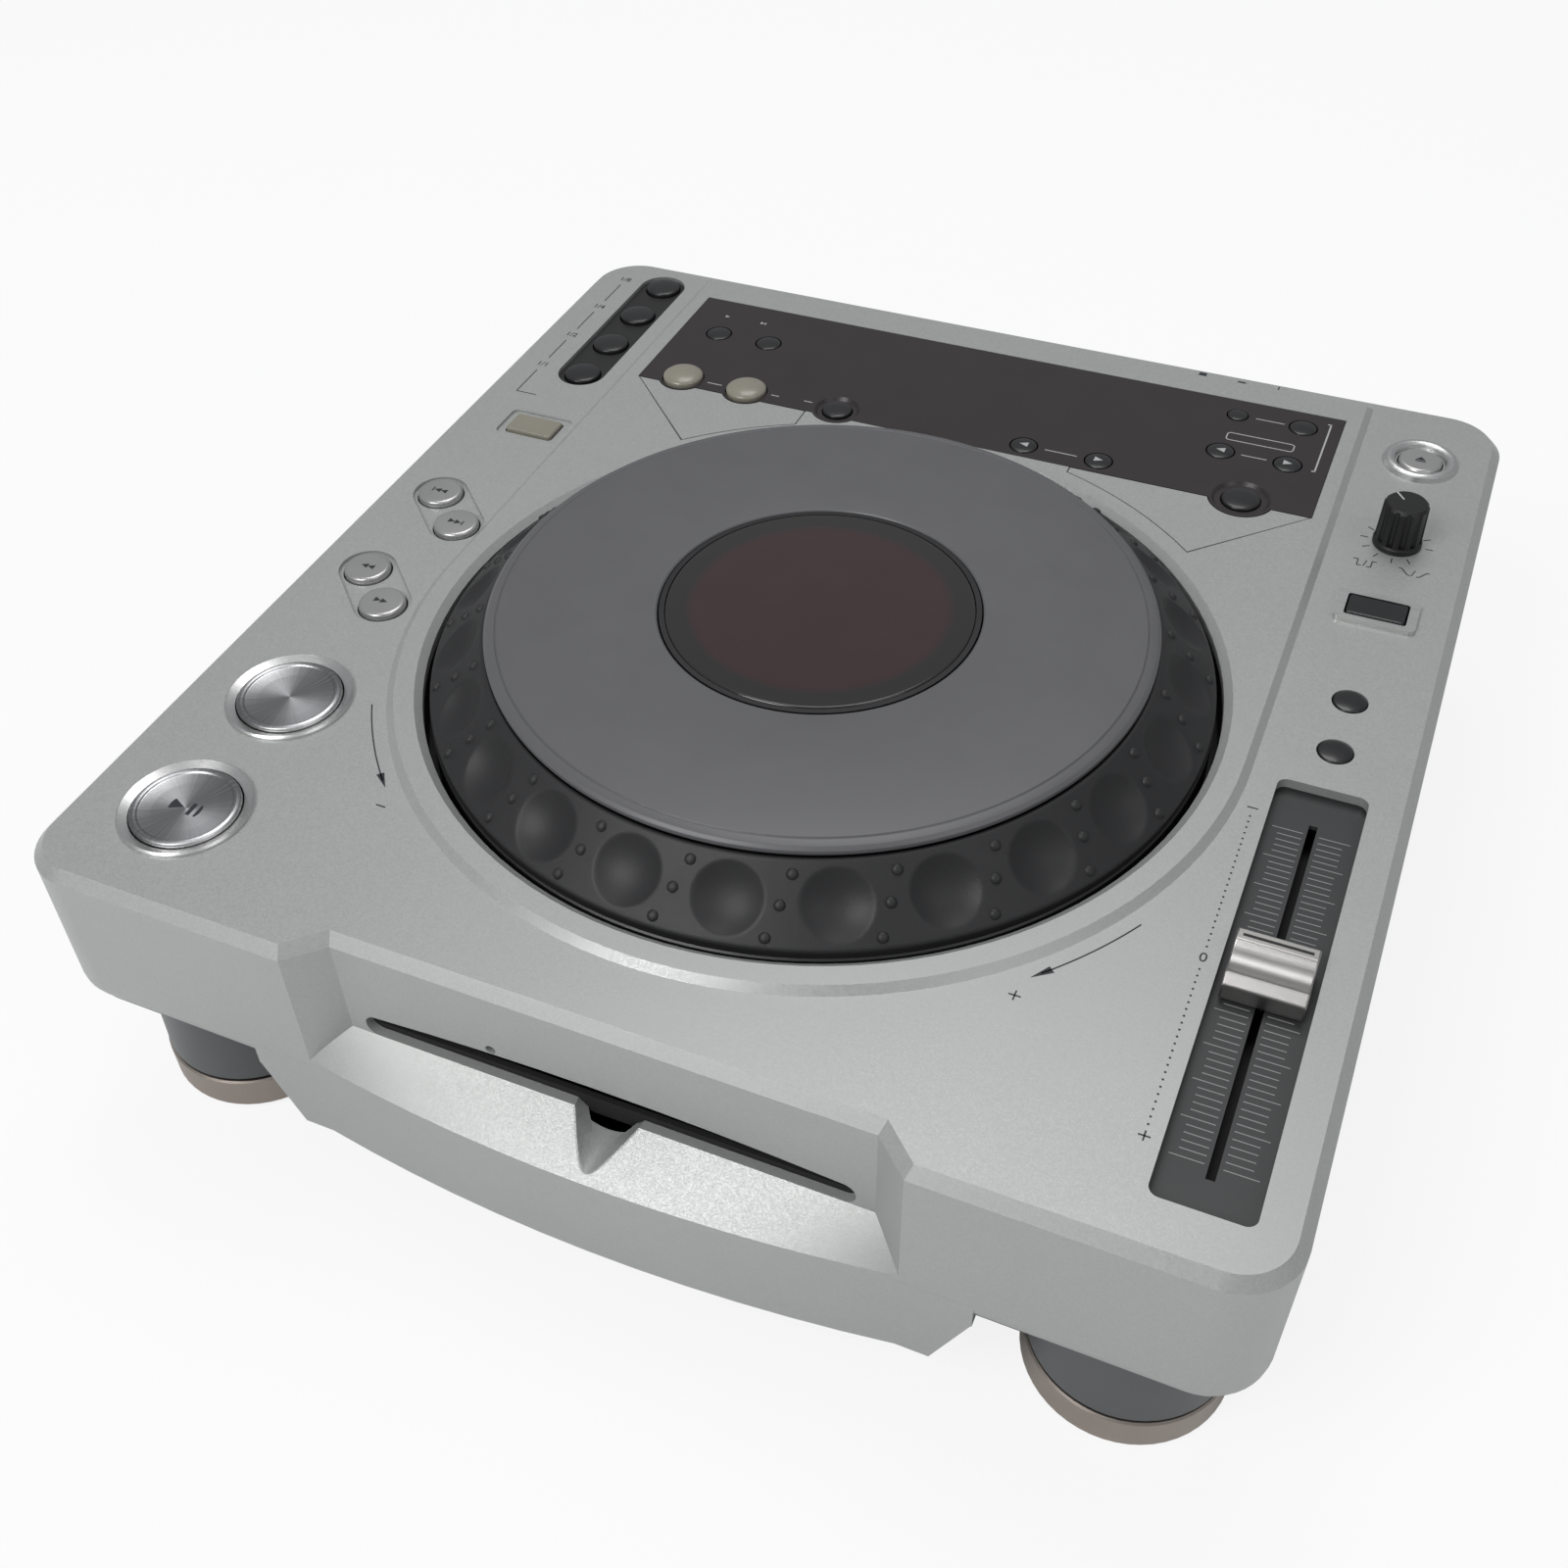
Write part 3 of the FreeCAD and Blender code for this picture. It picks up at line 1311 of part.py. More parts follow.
for node, shapes in [("button_bezels", bezels()), ("control_pots", control_pots()),
                     ("control_boards", control_boards()), ("display_modules", displays()),
                     ("foot_collars", foot_collars()), ("foot_rings", foot_rings()),
                     ("foot_pads", foot_pads()), ("main_board", main_board()),
                     ("power_supply", power_supply()), ("signal_jacks", signal_jacks())]:
    save_group(node, shapes)

save("cheek_plates", cheek_plates())

for name, x, y, r, proud in button_list() + panel_buttons():
    save(name + "_button", push_button(x, y, r, proud))
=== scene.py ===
import bmesh
import json
import math
import bpy
import numpy as np
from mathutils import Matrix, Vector


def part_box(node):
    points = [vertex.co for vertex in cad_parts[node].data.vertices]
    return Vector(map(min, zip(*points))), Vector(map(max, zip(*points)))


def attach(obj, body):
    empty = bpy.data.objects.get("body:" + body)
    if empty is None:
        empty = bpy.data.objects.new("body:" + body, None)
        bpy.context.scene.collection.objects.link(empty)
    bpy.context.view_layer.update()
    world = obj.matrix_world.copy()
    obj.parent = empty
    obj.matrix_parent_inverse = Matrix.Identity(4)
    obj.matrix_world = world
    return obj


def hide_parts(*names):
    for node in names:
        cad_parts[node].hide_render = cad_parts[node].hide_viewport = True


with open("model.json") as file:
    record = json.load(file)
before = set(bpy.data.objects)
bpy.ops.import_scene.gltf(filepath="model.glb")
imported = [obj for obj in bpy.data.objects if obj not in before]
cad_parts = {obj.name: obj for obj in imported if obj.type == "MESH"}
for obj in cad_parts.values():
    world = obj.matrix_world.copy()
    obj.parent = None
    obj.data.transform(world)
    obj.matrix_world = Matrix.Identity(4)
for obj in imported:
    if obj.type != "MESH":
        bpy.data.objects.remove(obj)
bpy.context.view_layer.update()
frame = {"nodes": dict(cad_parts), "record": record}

bl_info = {
    "name": "Mixing disc player",
    "version": (1, 0, 0),
    "blender": (4, 5, 0),
    "location": "View3D > Sidebar > Player",
    "description": "Dresses a tabletop disc player: finishes, dial, keys, fader, marks and studio",
    "category": "Object",
}

MM = 0.001
TOP_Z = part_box("button_bezels")[0][2]
DECK_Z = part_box("display_panel")[1][2]
SHELF_Z = TOP_Z - 0.0313
SHELF_Y = -0.1551
SHELF_BACK_HALF = 0.0665
SHELF_FRONT_HALF = 0.075
SHELF_DEPTH = 0.0081
DIAL_LOW, DIAL_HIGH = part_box("jog_ring")
DIAL_X = (DIAL_LOW[0] + DIAL_HIGH[0]) / 2
DIAL_Y = (DIAL_LOW[1] + DIAL_HIGH[1]) / 2
BODY_OF = {node: body for body, nodes in frame["record"]["behaviour"]["bodies"].items()
           for node in nodes}


# Shader maths

class Wire:
    """One shader socket; +, * and powers on it add Math nodes."""

    def __init__(self, finish, socket):
        self.finish = finish
        self.socket = socket

    def _math(self, operation, first, second):
        return self.finish.node("ShaderNodeMath", {"operation": operation}, {0: first, 1: second})

    def __add__(self, other):
        return self._math("ADD", self, other)

    def __mul__(self, other):
        return self._math("MULTIPLY", self, other)

    def __pow__(self, other):
        return self._math("POWER", self, other)

    def ramp(self, low, high):
        """0 under low, 1 over high and smooth between them."""
        return self.finish.node("ShaderNodeMapRange", {"interpolation_type": "SMOOTHSTEP"},
                                {0: self, 1: low, 2: high, 3: 0.0, 4: 1.0})


def add_node(tree, kind, settings=None, values=None):
    """Adds a node: its settings first, then the numbers, sockets or wires of its inputs."""
    made = tree.nodes.new(kind)
    for key, value in (settings or {}).items():
        setattr(made, key, value)
    for key, value in (values or {}).items():
        source = value.socket if isinstance(value, Wire) else value
        if isinstance(source, bpy.types.NodeSocket):
            tree.links.new(source, made.inputs[key])
        else:
            made.inputs[key].default_value = source
    return made


class Finish:
    """One procedural material on a Principled shader."""

    def __init__(self, name, colour, roughness=0.5, metallic=0.0, coat=0.0, coat_roughness=0.1):
        self.material = bpy.data.materials.new(name)
        self.material.use_nodes = True
        self.tree = self.material.node_tree
        self.shader = self.tree.nodes["Principled BSDF"]
        self.colour = colour
        self.put("Base Color", (*colour, 1.0))
        self.put("Roughness", roughness)
        self.put("Metallic", metallic)
        self.put("Coat Weight", coat)
        self.put("Coat Roughness", coat_roughness)

    def put(self, name, value):
        """Sets a socket of the shader to a number or colour, or links a wire to it."""
        if isinstance(value, Wire):
            self.tree.links.new(value.socket, self.shader.inputs[name])
        else:
            self.shader.inputs[name].default_value = value

    def node(self, kind, settings=None, values=None, output=0):
        """Adds a node and gives one of its outputs as a wire."""
        made = add_node(self.tree, kind, settings, values)
        return Wire(self, made.outputs[output])

    def finish(self, surface):
        """Links a shader's wire to the material's surface."""
        self.tree.links.new(surface.socket, self.tree.nodes["Material Output"].inputs[0])

    def coords(self, centre=(0.0, 0.0, 0.0)):
        """Object coordinates about a centre, in metres."""
        place = self.node("ShaderNodeTexCoord", output=3)
        return self.node("ShaderNodeVectorMath", {"operation": "SUBTRACT"}, {0: place, 1: centre})

    def split(self, vector):
        made = add_node(self.tree, "ShaderNodeSeparateXYZ", {}, {0: vector})
        return [Wire(self, made.outputs[i]) for i in range(3)]

    def noise(self, place, grain, detail=3.0, rough=0.6):
        """Noise whose blotches are about grain metres wide, from 0 to 1."""
        return self.node("ShaderNodeTexNoise", {}, {"Vector": place, "Scale": 1.0 / grain,
                                                     "Detail": detail, "Roughness": rough})

    def speck(self, place, grain):
        """Cells about grain metres wide, each with its own value."""
        colour = self.node("ShaderNodeTexVoronoi", {}, {"Vector": place, "Scale": 1.0 / grain}, 1)
        return self.split(colour)[0]

    def blend(self, share, first, second):
        """Mix of two colours by a share."""
        return self.node("ShaderNodeMix", {"data_type": "RGBA"},
                         {0: share, 6: self.rgba(first), 7: self.rgba(second)}, 2)

    def rgba(self, colour):
        return colour if isinstance(colour, Wire) else (*colour, 1.0)

    def tones(self, share, low, high):
        """Colours the surface between a darker and a lighter tone by a share."""
        pair = [shade(self.colour, step) for step in (low, high)]
        self.put("Base Color", self.blend(share, *pair))

    def bump(self, height, depth, strength=1.0):
        """Small relief: height from 0 to 1 stands for depth metres."""
        normal = self.node("ShaderNodeBump", {}, {"Strength": strength, "Distance": depth,
                                                   "Height": height})
        self.put("Normal", normal)


def shade(colour, share):
    """The colour made lighter or darker by a share."""
    return tuple(min(1.0, c * (1.0 + share)) for c in colour)


def moulded(name, colour, roughness, grain=0.0004, depth=0.00003, coat=0.0, metallic=0.0):
    """Moulded plastic: fine texture, slight mottling and a little wear in the gloss."""
    f = Finish(name, colour, roughness, metallic, coat)
    place = f.coords()
    fine = f.noise(place, grain, 4.0)
    broad = f.noise(place, 0.018, 2.0)
    f.tones(fine * 0.5 + broad * 0.5, -0.14, 0.16)
    f.put("Roughness", broad * 0.12 + (roughness - 0.06))
    f.bump(fine, depth)
    return f.material


def flake_silver(name, colour, roughness):
    """Silver paint: bright flakes under a thin lacquer, with soft clouding."""
    f = Finish(name, colour, roughness, 0.35, 0.25, 0.25)
    place = f.coords()
    flakes = f.speck(place, 0.00032)
    cloud = f.noise(place, 0.03, 2.0)
    grain = f.noise(place, 0.0009, 3.0)
    f.tones(flakes * 0.45 + grain * 0.35 + cloud * 0.2, -0.13, 0.13)
    f.put("Roughness", flakes * 0.14 + (roughness - 0.07))
    f.bump(flakes * 0.6 + grain * 0.4, 0.00002, 0.5)
    return f.material


def printed(name, colour):
    """Printed ink: a flat coat that is a little thinner here and there."""
    f = Finish(name, colour, 0.5)
    thin = f.noise(f.coords(), 0.0006, 2.0)
    f.tones(thin, -0.12, 0.12)
    f.put("Roughness", thin * 0.1 + 0.45)
    return f.material


def spun_metal(name, colour, centre, roughness=0.28):
    """Metal turned on a lathe: fine rings, with two bright fans painted across them as a highlight
    and painted shade between them.
    """
    f = Finish(name, colour, roughness, 1.0)
    x, y, _ = f.split(f.coords(centre))
    radius = (x * x + y * y) ** 0.5
    rings = f.node("ShaderNodeTexNoise", {"noise_dimensions": "1D"},
                   {"W": radius * 9000.0, "Scale": 1.0, "Detail": 2.0})
    angle = f.node("ShaderNodeMath", {"operation": "ARCTAN2"}, {0: y, 1: x})
    # Two bright fans are painted into the colour as a highlight at one fixed angle round the key,
    # with painted shade between them.
    highlight_fan_wave = f.node("ShaderNodeMath", {"operation": "SINE"}, {0: angle * 2.0 + 2.5})
    fan_painted_highlight = (highlight_fan_wave * 0.5 + 0.5) ** 2.0
    rays = f.node("ShaderNodeTexNoise", {"noise_dimensions": "1D"},
                  {"W": angle * 14.0, "Scale": 1.0, "Detail": 3.0})
    f.tones(fan_painted_highlight * 0.62 + rays * 0.22 + rings * 0.16, -0.85, 0.5)
    f.put("Roughness", rings * 0.16 + roughness)
    f.bump(rings, 0.00001, 0.5)
    return f.material


def brushed(name, colour, along, roughness=0.3):
    """Metal brushed along X, Y or Z: long fine scratches."""
    f = Finish(name, colour, roughness, 1.0)
    stretch = [1.0, 1.0, 1.0]
    stretch["XYZ".index(along)] = 0.02
    place = f.node("ShaderNodeMapping", {}, {0: f.node("ShaderNodeTexCoord", output=3),
                                             3: tuple(stretch)})
    scratch = f.noise(place, 0.00022, 3.0)
    broad = f.noise(f.coords(), 0.008, 2.0)
    f.tones(scratch * 0.7 + broad * 0.3, -0.2, 0.2)
    f.put("Roughness", scratch * 0.25 + (roughness - 0.1))
    f.bump(scratch, 0.00001, 0.6)
    return f.material


# Surfaces

def put_object(name, mesh, material, sharp):
    """Object at the origin in one material, smooth but for creases over sharp degrees."""
    mesh.shade_smooth()
    mesh.set_sharp_from_angle(angle=math.radians(sharp))
    mesh.materials.clear()
    mesh.materials.append(material)
    piece = bpy.data.objects.new(name, mesh)
    bpy.context.scene.collection.objects.link(piece)
    return piece


def put_mesh(name, points, faces, material, sharp=38.0):
    """Object from arrays of points and faces."""
    mesh = bpy.data.meshes.new(name)
    mesh.from_pydata(points.tolist(), [], [tuple(face) for face in faces])
    return put_object(name, mesh, material, sharp)


def grid_faces(rows, columns, start=0):
    """Quads of a grid whose columns close on themselves, facing out for a rising profile."""
    r, c = np.meshgrid(np.arange(rows - 1), np.arange(columns), indexing="ij")
    ahead = (c + 1) % columns
    quads = np.stack([r * columns + c, r * columns + ahead,
                      (r + 1) * columns + ahead, (r + 1) * columns + c], -1)
    return (quads.reshape(-1, 4) + start).tolist()


def softened(profile, reach):
    """Profile with each inner corner cut into a short curve: a quadratic curve of three points
    between the spots at reach before and after the corner."""
    points = [np.array(p, float) for p in profile]
    out = [points[0]]
    for before, corner, after in zip(points, points[1:], points[2:]):
        back, ahead = before - corner, after - corner
        cut_back = min(reach, np.linalg.norm(back) * 0.45)
        cut_ahead = min(reach, np.linalg.norm(ahead) * 0.45)
        start = corner + back / np.linalg.norm(back) * cut_back
        end = corner + ahead / np.linalg.norm(ahead) * cut_ahead
        for t in (0.0, 0.33, 0.67, 1.0):
            out.append((1 - t) ** 2 * start + 2 * t * (1 - t) * corner + t ** 2 * end)
    out.append(points[-1])
    return np.array(out)


def turned_arrays(profile, centre, columns):
    """Points and faces of a profile turned about the upright axis through centre: point (a, i)
    is centre + (r_i cos a, r_i sin a, z_i). Radii of 0 at the ends become single poles."""
    profile = np.asarray(profile, float)
    angle = np.linspace(0.0, 2 * np.pi, columns, endpoint=False)
    inner = profile
    closed_low, closed_high = profile[0, 0] < 1e-9, profile[-1, 0] < 1e-9
    if closed_low:
        inner = inner[1:]
    if closed_high:
        inner = inner[:-1]
    ring = np.stack([np.outer(inner[:, 0], np.cos(angle)), np.outer(inner[:, 0], np.sin(angle)),
                     np.repeat(inner[:, 1:2], columns, 1)], -1).reshape(-1, 3)
    faces = grid_faces(len(inner), columns)
    points = [ring]
    ahead = (np.arange(columns) + 1) % columns
    total = len(ring)
    if closed_low:
        points.append([[0.0, 0.0, profile[0, 1]]])
        faces += [(total, int(b), int(a)) for a, b in zip(range(columns), ahead)]
        total += 1
    if closed_high:
        points.append([[0.0, 0.0, profile[-1, 1]]])
        last = (len(inner) - 1) * columns
        faces += [(total, last + int(a), last + int(b)) for a, b in zip(range(columns), ahead)]
    if not closed_low and not closed_high:
        faces += closing_faces(len(inner), columns)
    return np.concatenate(points) + np.array([centre[0], centre[1], 0.0]), faces


def closing_faces(rows, columns):
    """Quads from the last ring back to the first, for a profile that is a closed loop."""
    c = np.arange(columns)
    ahead = (c + 1) % columns
    last = (rows - 1) * columns
    return np.stack([last + c, last + ahead, ahead, c], -1).tolist()


def turned(name, profile, centre, material, columns=96, soft=0.0003):
    """Turned piece from (radius, height) points in metres, from the bottom round to the top."""
    shape = softened(profile, soft) if soft else profile
    points, faces = turned_arrays(shape, centre, columns)
    return put_mesh(name, points, faces, material)


def gathered(name, parts, material, sharp=38.0):
    """One mesh from several (points, faces) pairs."""
    points, faces, start = [], [], 0
    for p, f in parts:
        points.append(p)
        faces += [tuple(i + start for i in face) for face in f]
        start += len(p)
    return put_mesh(name, np.concatenate(points), faces, material, sharp)


def slab_arrays(outline, z0, z1):
    """Flat plate: the (x, y) outline at z1 and at z0, joined by walls."""
    outline = np.asarray(outline, float)
    n = len(outline)
    low = np.column_stack([outline, np.full(n, z0)])
    high = np.column_stack([outline, np.full(n, z1)])
    i = np.arange(n)
    ahead = (i + 1) % n
    walls = np.stack([i, ahead, ahead + n, i + n], -1).tolist()
    return np.concatenate([low, high]), walls + [list(range(n, 2 * n)), list(range(n - 1, -1, -1))]


def stroke(path, width, z, thick=0.00006):
    """Printed line along a path of (x, y) points: the path offset by half the width each way."""
    path = np.asarray(path, float)
    along = np.gradient(path, axis=0)
    along /= np.linalg.norm(along, axis=1)[:, None]
    side = np.column_stack([-along[:, 1], along[:, 0]]) * width / 2
    return slab_arrays(np.concatenate([path - side, (path + side)[::-1]]), z, z + thick)


def line(x0, y0, x1, y1, width, z):
    return stroke([(x0 * MM, y0 * MM), (x1 * MM, y1 * MM)], width * MM, z)


def shape(points, z, thick=0.00006):
    return slab_arrays(np.array(points, float) * MM, z, z + thick)


def dot(x, y, r, z):
    """Printed dot: a circle of eight points."""
    a = np.linspace(0, 2 * np.pi, 8, endpoint=False)
    return slab_arrays(np.column_stack([x + r * np.cos(a), y + r * np.sin(a)]) * MM, z, z + 0.00006)


def ride(piece, node, replace=True):
    """The piece rides with its node's body and, if asked, takes its place."""
    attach(piece, BODY_OF[node])
    if replace:
        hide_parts(node)
    return piece


def middle(node):
    low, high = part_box(node)
    return (low[0] + high[0]) / 2, (low[1] + high[1]) / 2


def top_spot(node):
    """Middle of a node in millimetres, and the height of its top in metres."""
    x, y = middle(node)
    return x / MM, y / MM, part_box(node)[1][2]


def dress(node, material):
    """Gives a carried-over node its material."""
    mesh = frame["nodes"][node].data
    mesh.materials.clear()
    mesh.materials.append(material)


def merged_copy(name, node, material, sharp=30.0, edge=0.0):
    """Copy of a CAD node with its corners merged, smooth faces and, if asked, eased edges."""
    mesh = frame["nodes"][node].data.copy()
    mesh.name = name
    work = bmesh.new()
    work.from_mesh(mesh)
    bmesh.ops.remove_doubles(work, verts=work.verts, dist=0.000004)
    bmesh.ops.dissolve_degenerate(work, edges=work.edges, dist=0.000002)
    if edge:
        bmesh.ops.dissolve_limit(work, angle_limit=math.radians(1.0), verts=work.verts,
                                 edges=work.edges)
    work.to_mesh(mesh)
    work.free()
    for stale in ("custom_normal", "sharp_face"):
        if stale in mesh.attributes:
            mesh.attributes.remove(mesh.attributes[stale])
    piece = put_object(name, mesh, material, sharp)
    if edge:
        bevel = piece.modifiers.new("eased edges", "BEVEL")
        bevel.width = edge
        bevel.segments = 3
        bevel.limit_method = "ANGLE"
        bevel.angle_limit = math.radians(sharp)
        bevel.harden_normals = True
    weighted = piece.modifiers.new("even shading", "WEIGHTED_NORMAL")
    weighted.keep_sharp = True
    return ride(piece, node)


def words(text, height, x, y, z):
    """Arrays of a plain numeral or sign, its middle at (x, y) mm and its height in mm."""
    curve = bpy.data.curves.new("numeral", "FONT")
    curve.body = text
    curve.align_x = "CENTER"
    curve.align_y = "CENTER"
    curve.extrude = 0.00003 / (height * MM) / 1.4
    curve.resolution_u = 3
    made = bpy.data.objects.new("numeral", curve)
    mesh = bpy.data.meshes.new_from_object(made)
    points = np.zeros(len(mesh.vertices) * 3)
    mesh.vertices.foreach_get("co", points)
    points = points.reshape(-1, 3) * height * MM * 1.4
    faces = [tuple(p.vertices) for p in mesh.polygons]
    bpy.data.objects.remove(made)
    bpy.data.curves.remove(curve)
    bpy.data.meshes.remove(mesh)
    return points + np.array([x * MM, y * MM, z + 0.00003]), faces


# Sizes and colours that a user would change

def colour_prop(name, text, value):
    return bpy.props.FloatVectorProperty(name=name, description=text, subtype="COLOR", size=3,
                                         min=0.0, max=1.0, default=value)


def length_prop(name, text, value):
    return bpy.props.FloatProperty(name=name, description=text, unit="LENGTH", default=value,
                                   precision=5)


class PlayerColours(bpy.types.PropertyGroup):
    """Colours of the finishes, in linear light."""
    silver: colour_prop("Silver paint", "Flake paint of the case", (0.43, 0.44, 0.43))
    front: colour_prop("Silver key", "Plated keys", (0.5, 0.5, 0.49))
    plate: colour_prop("Dial plate", "Flat top of the dial", (0.115, 0.115, 0.12))
    rubber: colour_prop("Rubber", "Ring of the dial", (0.018, 0.018, 0.019))
    panel: colour_prop("Display panel", "Dark panel behind the dial", (0.028, 0.023, 0.024))
    black: colour_prop("Black plastic", "Keys, knob and strips", (0.012, 0.012, 0.013))
    pearl: colour_prop("Pearl keys", "Unlit lamps of the loop keys", (0.27, 0.255, 0.205))
    window: colour_prop("Window", "Unlit display in the dial", (0.042, 0.021, 0.023))
    collar: colour_prop("Foot collar", "Plastic of the feet", (0.085, 0.09, 0.092))
    foot_metal: colour_prop("Foot ring", "Turned ring under each foot", (0.42, 0.37, 0.33))
    ink: colour_prop("Dark print", "Marks on the silver case", (0.02, 0.022, 0.026))
    white_ink: colour_prop("Light print", "Marks on the dark panel", (0.46, 0.46, 0.46))


class PlayerSizes(bpy.types.PropertyGroup):
    """Sizes of the looks, in metres."""
    dimple_r: length_prop("Dimple radius", "Finger dimples of the ring", 0.0087)
    dimple_depth: length_prop("Dimple depth", "Deepest point of a dimple", 0.0026)
    bump_r: length_prop("Bump radius", "Grip bumps between the dimples", 0.0014)
    bump_h: length_prop("Bump height", "How far a bump stands proud", 0.0008)


# Dial

RING_SLOPE_LOW = (0.1025, 0.0905)
RING_SLOPE_HIGH = (0.0867, 0.1049)
DIMPLES = 24
DIMPLE_START = math.radians(9.5)


def slope_frame(angle, share):
    """Points on the ring's slope at angles and shares of the way up: the centre plus r (cos a,
    sin a), with their directions round the dial, up the slope and out of it."""
    low, high = np.array(RING_SLOPE_LOW), np.array(RING_SLOPE_HIGH)
    r, z = low[0] + (high[0] - low[0]) * share, low[1] + (high[1] - low[1]) * share
    run = (high - low) / np.linalg.norm(high - low)
    cos, sin = np.cos(angle), np.sin(angle)
    zero = np.zeros_like(cos)
    point = np.stack([DIAL_X + r * cos, DIAL_Y + r * sin, z + zero], -1)
    around = np.stack([-sin, cos, zero], -1)
    up = np.stack([run[0] * cos, run[0] * sin, run[1] + zero], -1)
    out = np.stack([run[1] * cos, run[1] * sin, -run[0] + zero], -1)
    return point, around, up, out


def dial_ring(sizes, material):
    """Ring with dimples. With d the distance on the slope from the nearest dimple's middle, the
    slope sinks by sqrt(R^2 - d^2) - (R - depth) inside the dimple's radius, where R is the ball
    that cuts a dimple of that radius and depth."""
    columns, rows = 1200, 50
    depth, radius = sizes.dimple_depth, sizes.dimple_r
    ball = (radius ** 2 + depth ** 2) / (2 * depth)
    angle = np.linspace(0, 2 * np.pi, columns, endpoint=False)
    share = np.linspace(0.0, 1.0, rows)
    low, high = np.array(RING_SLOPE_LOW), np.array(RING_SLOPE_HIGH)
    length = np.linalg.norm(high - low)
    run = (high - low) / length
    pitch = 2 * np.pi / DIMPLES
    off = (angle - DIMPLE_START + pitch / 2) % pitch - pitch / 2
    r = low[0] + (high[0] - low[0]) * share[:, None]
    across = off[None, :] * r
    along = (share[:, None] - 0.5) * length
    d2 = across ** 2 + along ** 2
    sink = np.sqrt(np.maximum(ball ** 2 - d2, 0)) - (ball - depth)
    rim = 0.00022
    sink = np.where(sink > 0, np.sqrt(sink ** 2 + rim ** 2) - rim, 0.0)
    ease = np.minimum(np.minimum(share, 1 - share) / 0.05, 1.0)[:, None]
    edge = 0.0007 * (1 - np.sqrt(1 - (1 - ease) ** 2))
    rise = -sink - edge
    rr = r + run[1] * rise
    zz = low[1] + (high[1] - low[1]) * share[:, None] - run[0] * rise
    z_edge = DIAL_LOW[2]
    first = np.stack([np.full(columns, rr[0, 0]), np.full(columns, z_edge)], -1)
    last = np.stack([np.full(columns, high[0] - 0.0002), np.full(columns, high[1] - 0.004)], -1)
    rows_r = np.concatenate([first[None, :, 0], rr, last[None, :, 0]])
    rows_z = np.concatenate([first[None, :, 1], zz, last[None, :, 1]])
    points = np.stack([DIAL_X + rows_r * np.cos(angle), DIAL_Y + rows_r * np.sin(angle), rows_z],
                      -1).reshape(-1, 3)
    faces = grid_faces(rows + 2, columns) + closing_faces(rows + 2, columns)
    return ride(put_mesh("dial_ring_rubber", points, faces, material, 45.0), "jog_ring")


def ring_bumps(sizes, material):
    """Three low domes between each pair of dimples: points (r cos a, r sin a, h (1 - r^2)^0.5)
    in the slope's own directions."""
    pitch = 2 * np.pi / DIMPLES
    spots = np.array([(DIMPLE_START + (i + 0.5) * pitch + math.radians(offset), share)
                      for share, offset in ((0.14, -1.9), (0.49, -0.3), (0.82, 1.2))
                      for i in range(DIMPLES)])
    point, around, up, out = slope_frame(spots[:, 0], spots[:, 1])
    columns = 14
    radii = np.array([1.12, 1.0, 0.86, 0.62, 0.34])
    heights = np.array([-0.25, 0.0, 0.55, 0.86, 0.98])
    dome, faces = turned_arrays(list(zip(radii, heights)) + [(0.0, 1.0)], (0.0, 0.0), columns)
    faces = faces + [tuple(range(columns - 1, -1, -1))]
    world = (point[:, None, :] + dome[None, :, 0:1] * sizes.bump_r * around[:, None, :]
             + dome[None, :, 1:2] * sizes.bump_r * up[:, None, :]
             + dome[None, :, 2:3] * sizes.bump_h * out[:, None, :])
    count = len(dome)
    every = [tuple(i + k * count for i in face) for k in range(len(spots)) for face in faces]
    piece = put_mesh("dial_ring_bumps", world.reshape(-1, 3), every, material, 50.0)
    return ride(piece, "jog_ring", replace=False)


def plate_profile(z1, outer, inner):
    """Section of the dial's flat top, from its inner edge round the underside to the groove."""
    return [(inner, z1 - 0.0016), (outer - 0.0036, z1 - 0.0016), (outer - 0.0036, z1 - 0.0044),
            (outer - 0.0016, z1 - 0.0044), (outer - 0.0016, z1 - 0.0029), (outer, z1 - 0.0024),
            (outer, z1 - 0.0013), (outer - 0.0009, z1 - 0.0006), (outer - 0.0028, z1 - 0.0001),
            (outer - 0.0031, z1 - 0.0004), (outer - 0.0034, z1), (inner + 0.0004, z1),
            (inner, z1 - 0.0004), (inner, z1 - 0.0016)]


# Round caps

def cap_section(r, z_low, z_top, kind):
    """Half section of a round key from under the case to its middle. The kinds are a low dome,
    a flat top with an eased edge, and a high dome."""
    if kind == "dome":
        rise = 0.14 * r
        edge = z_top - rise
        arc = [(r * math.cos(a), edge + rise * math.sin(a)) for a in np.linspace(0.35, 1.35, 7)]
        return [(0.0, z_low), (r, z_low), (r, edge)] + arc + [(0.0, z_top)]
    if kind == "flat":
        ease = 0.0009
        return [(0.0, z_low), (r, z_low), (r, z_top - ease), (r - 0.3 * ease, z_top - 0.3 * ease),
                (r - ease, z_top), (0.0, z_top)]
    arc = [(r * math.cos(a), z_top - 0.3 * r * (1 - math.sin(a))) for a in np.linspace(0.1, 1.4, 9)]
    return [(0.0, z_low), (r, z_low), (r, z_top - 0.32 * r)] + arc + [(0.0, z_top)]


def round_key(node, kind, material):
    """Round key that stands where its node does."""
    low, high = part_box(node)
    r = (high[1] - low[1]) / 2
    section = cap_section(r, max(low[2], TOP_Z - 0.004), high[2], kind)
    return ride(turned(node + "_cap", section, middle(node), material, 64, 0.00035), node)


# Marks

def arrow_head(x, y, length, half, turn, z):
    """Solid triangle whose tip points along turn, its middle at (x, y) mm."""
    cos, sin = math.cos(turn), math.sin(turn)
    corners = [(length / 2, 0), (-length / 2, half), (-length / 2, -half)]
    return shape([(x + a * cos - b * sin, y + a * sin + b * cos) for a, b in corners][::-1], z)


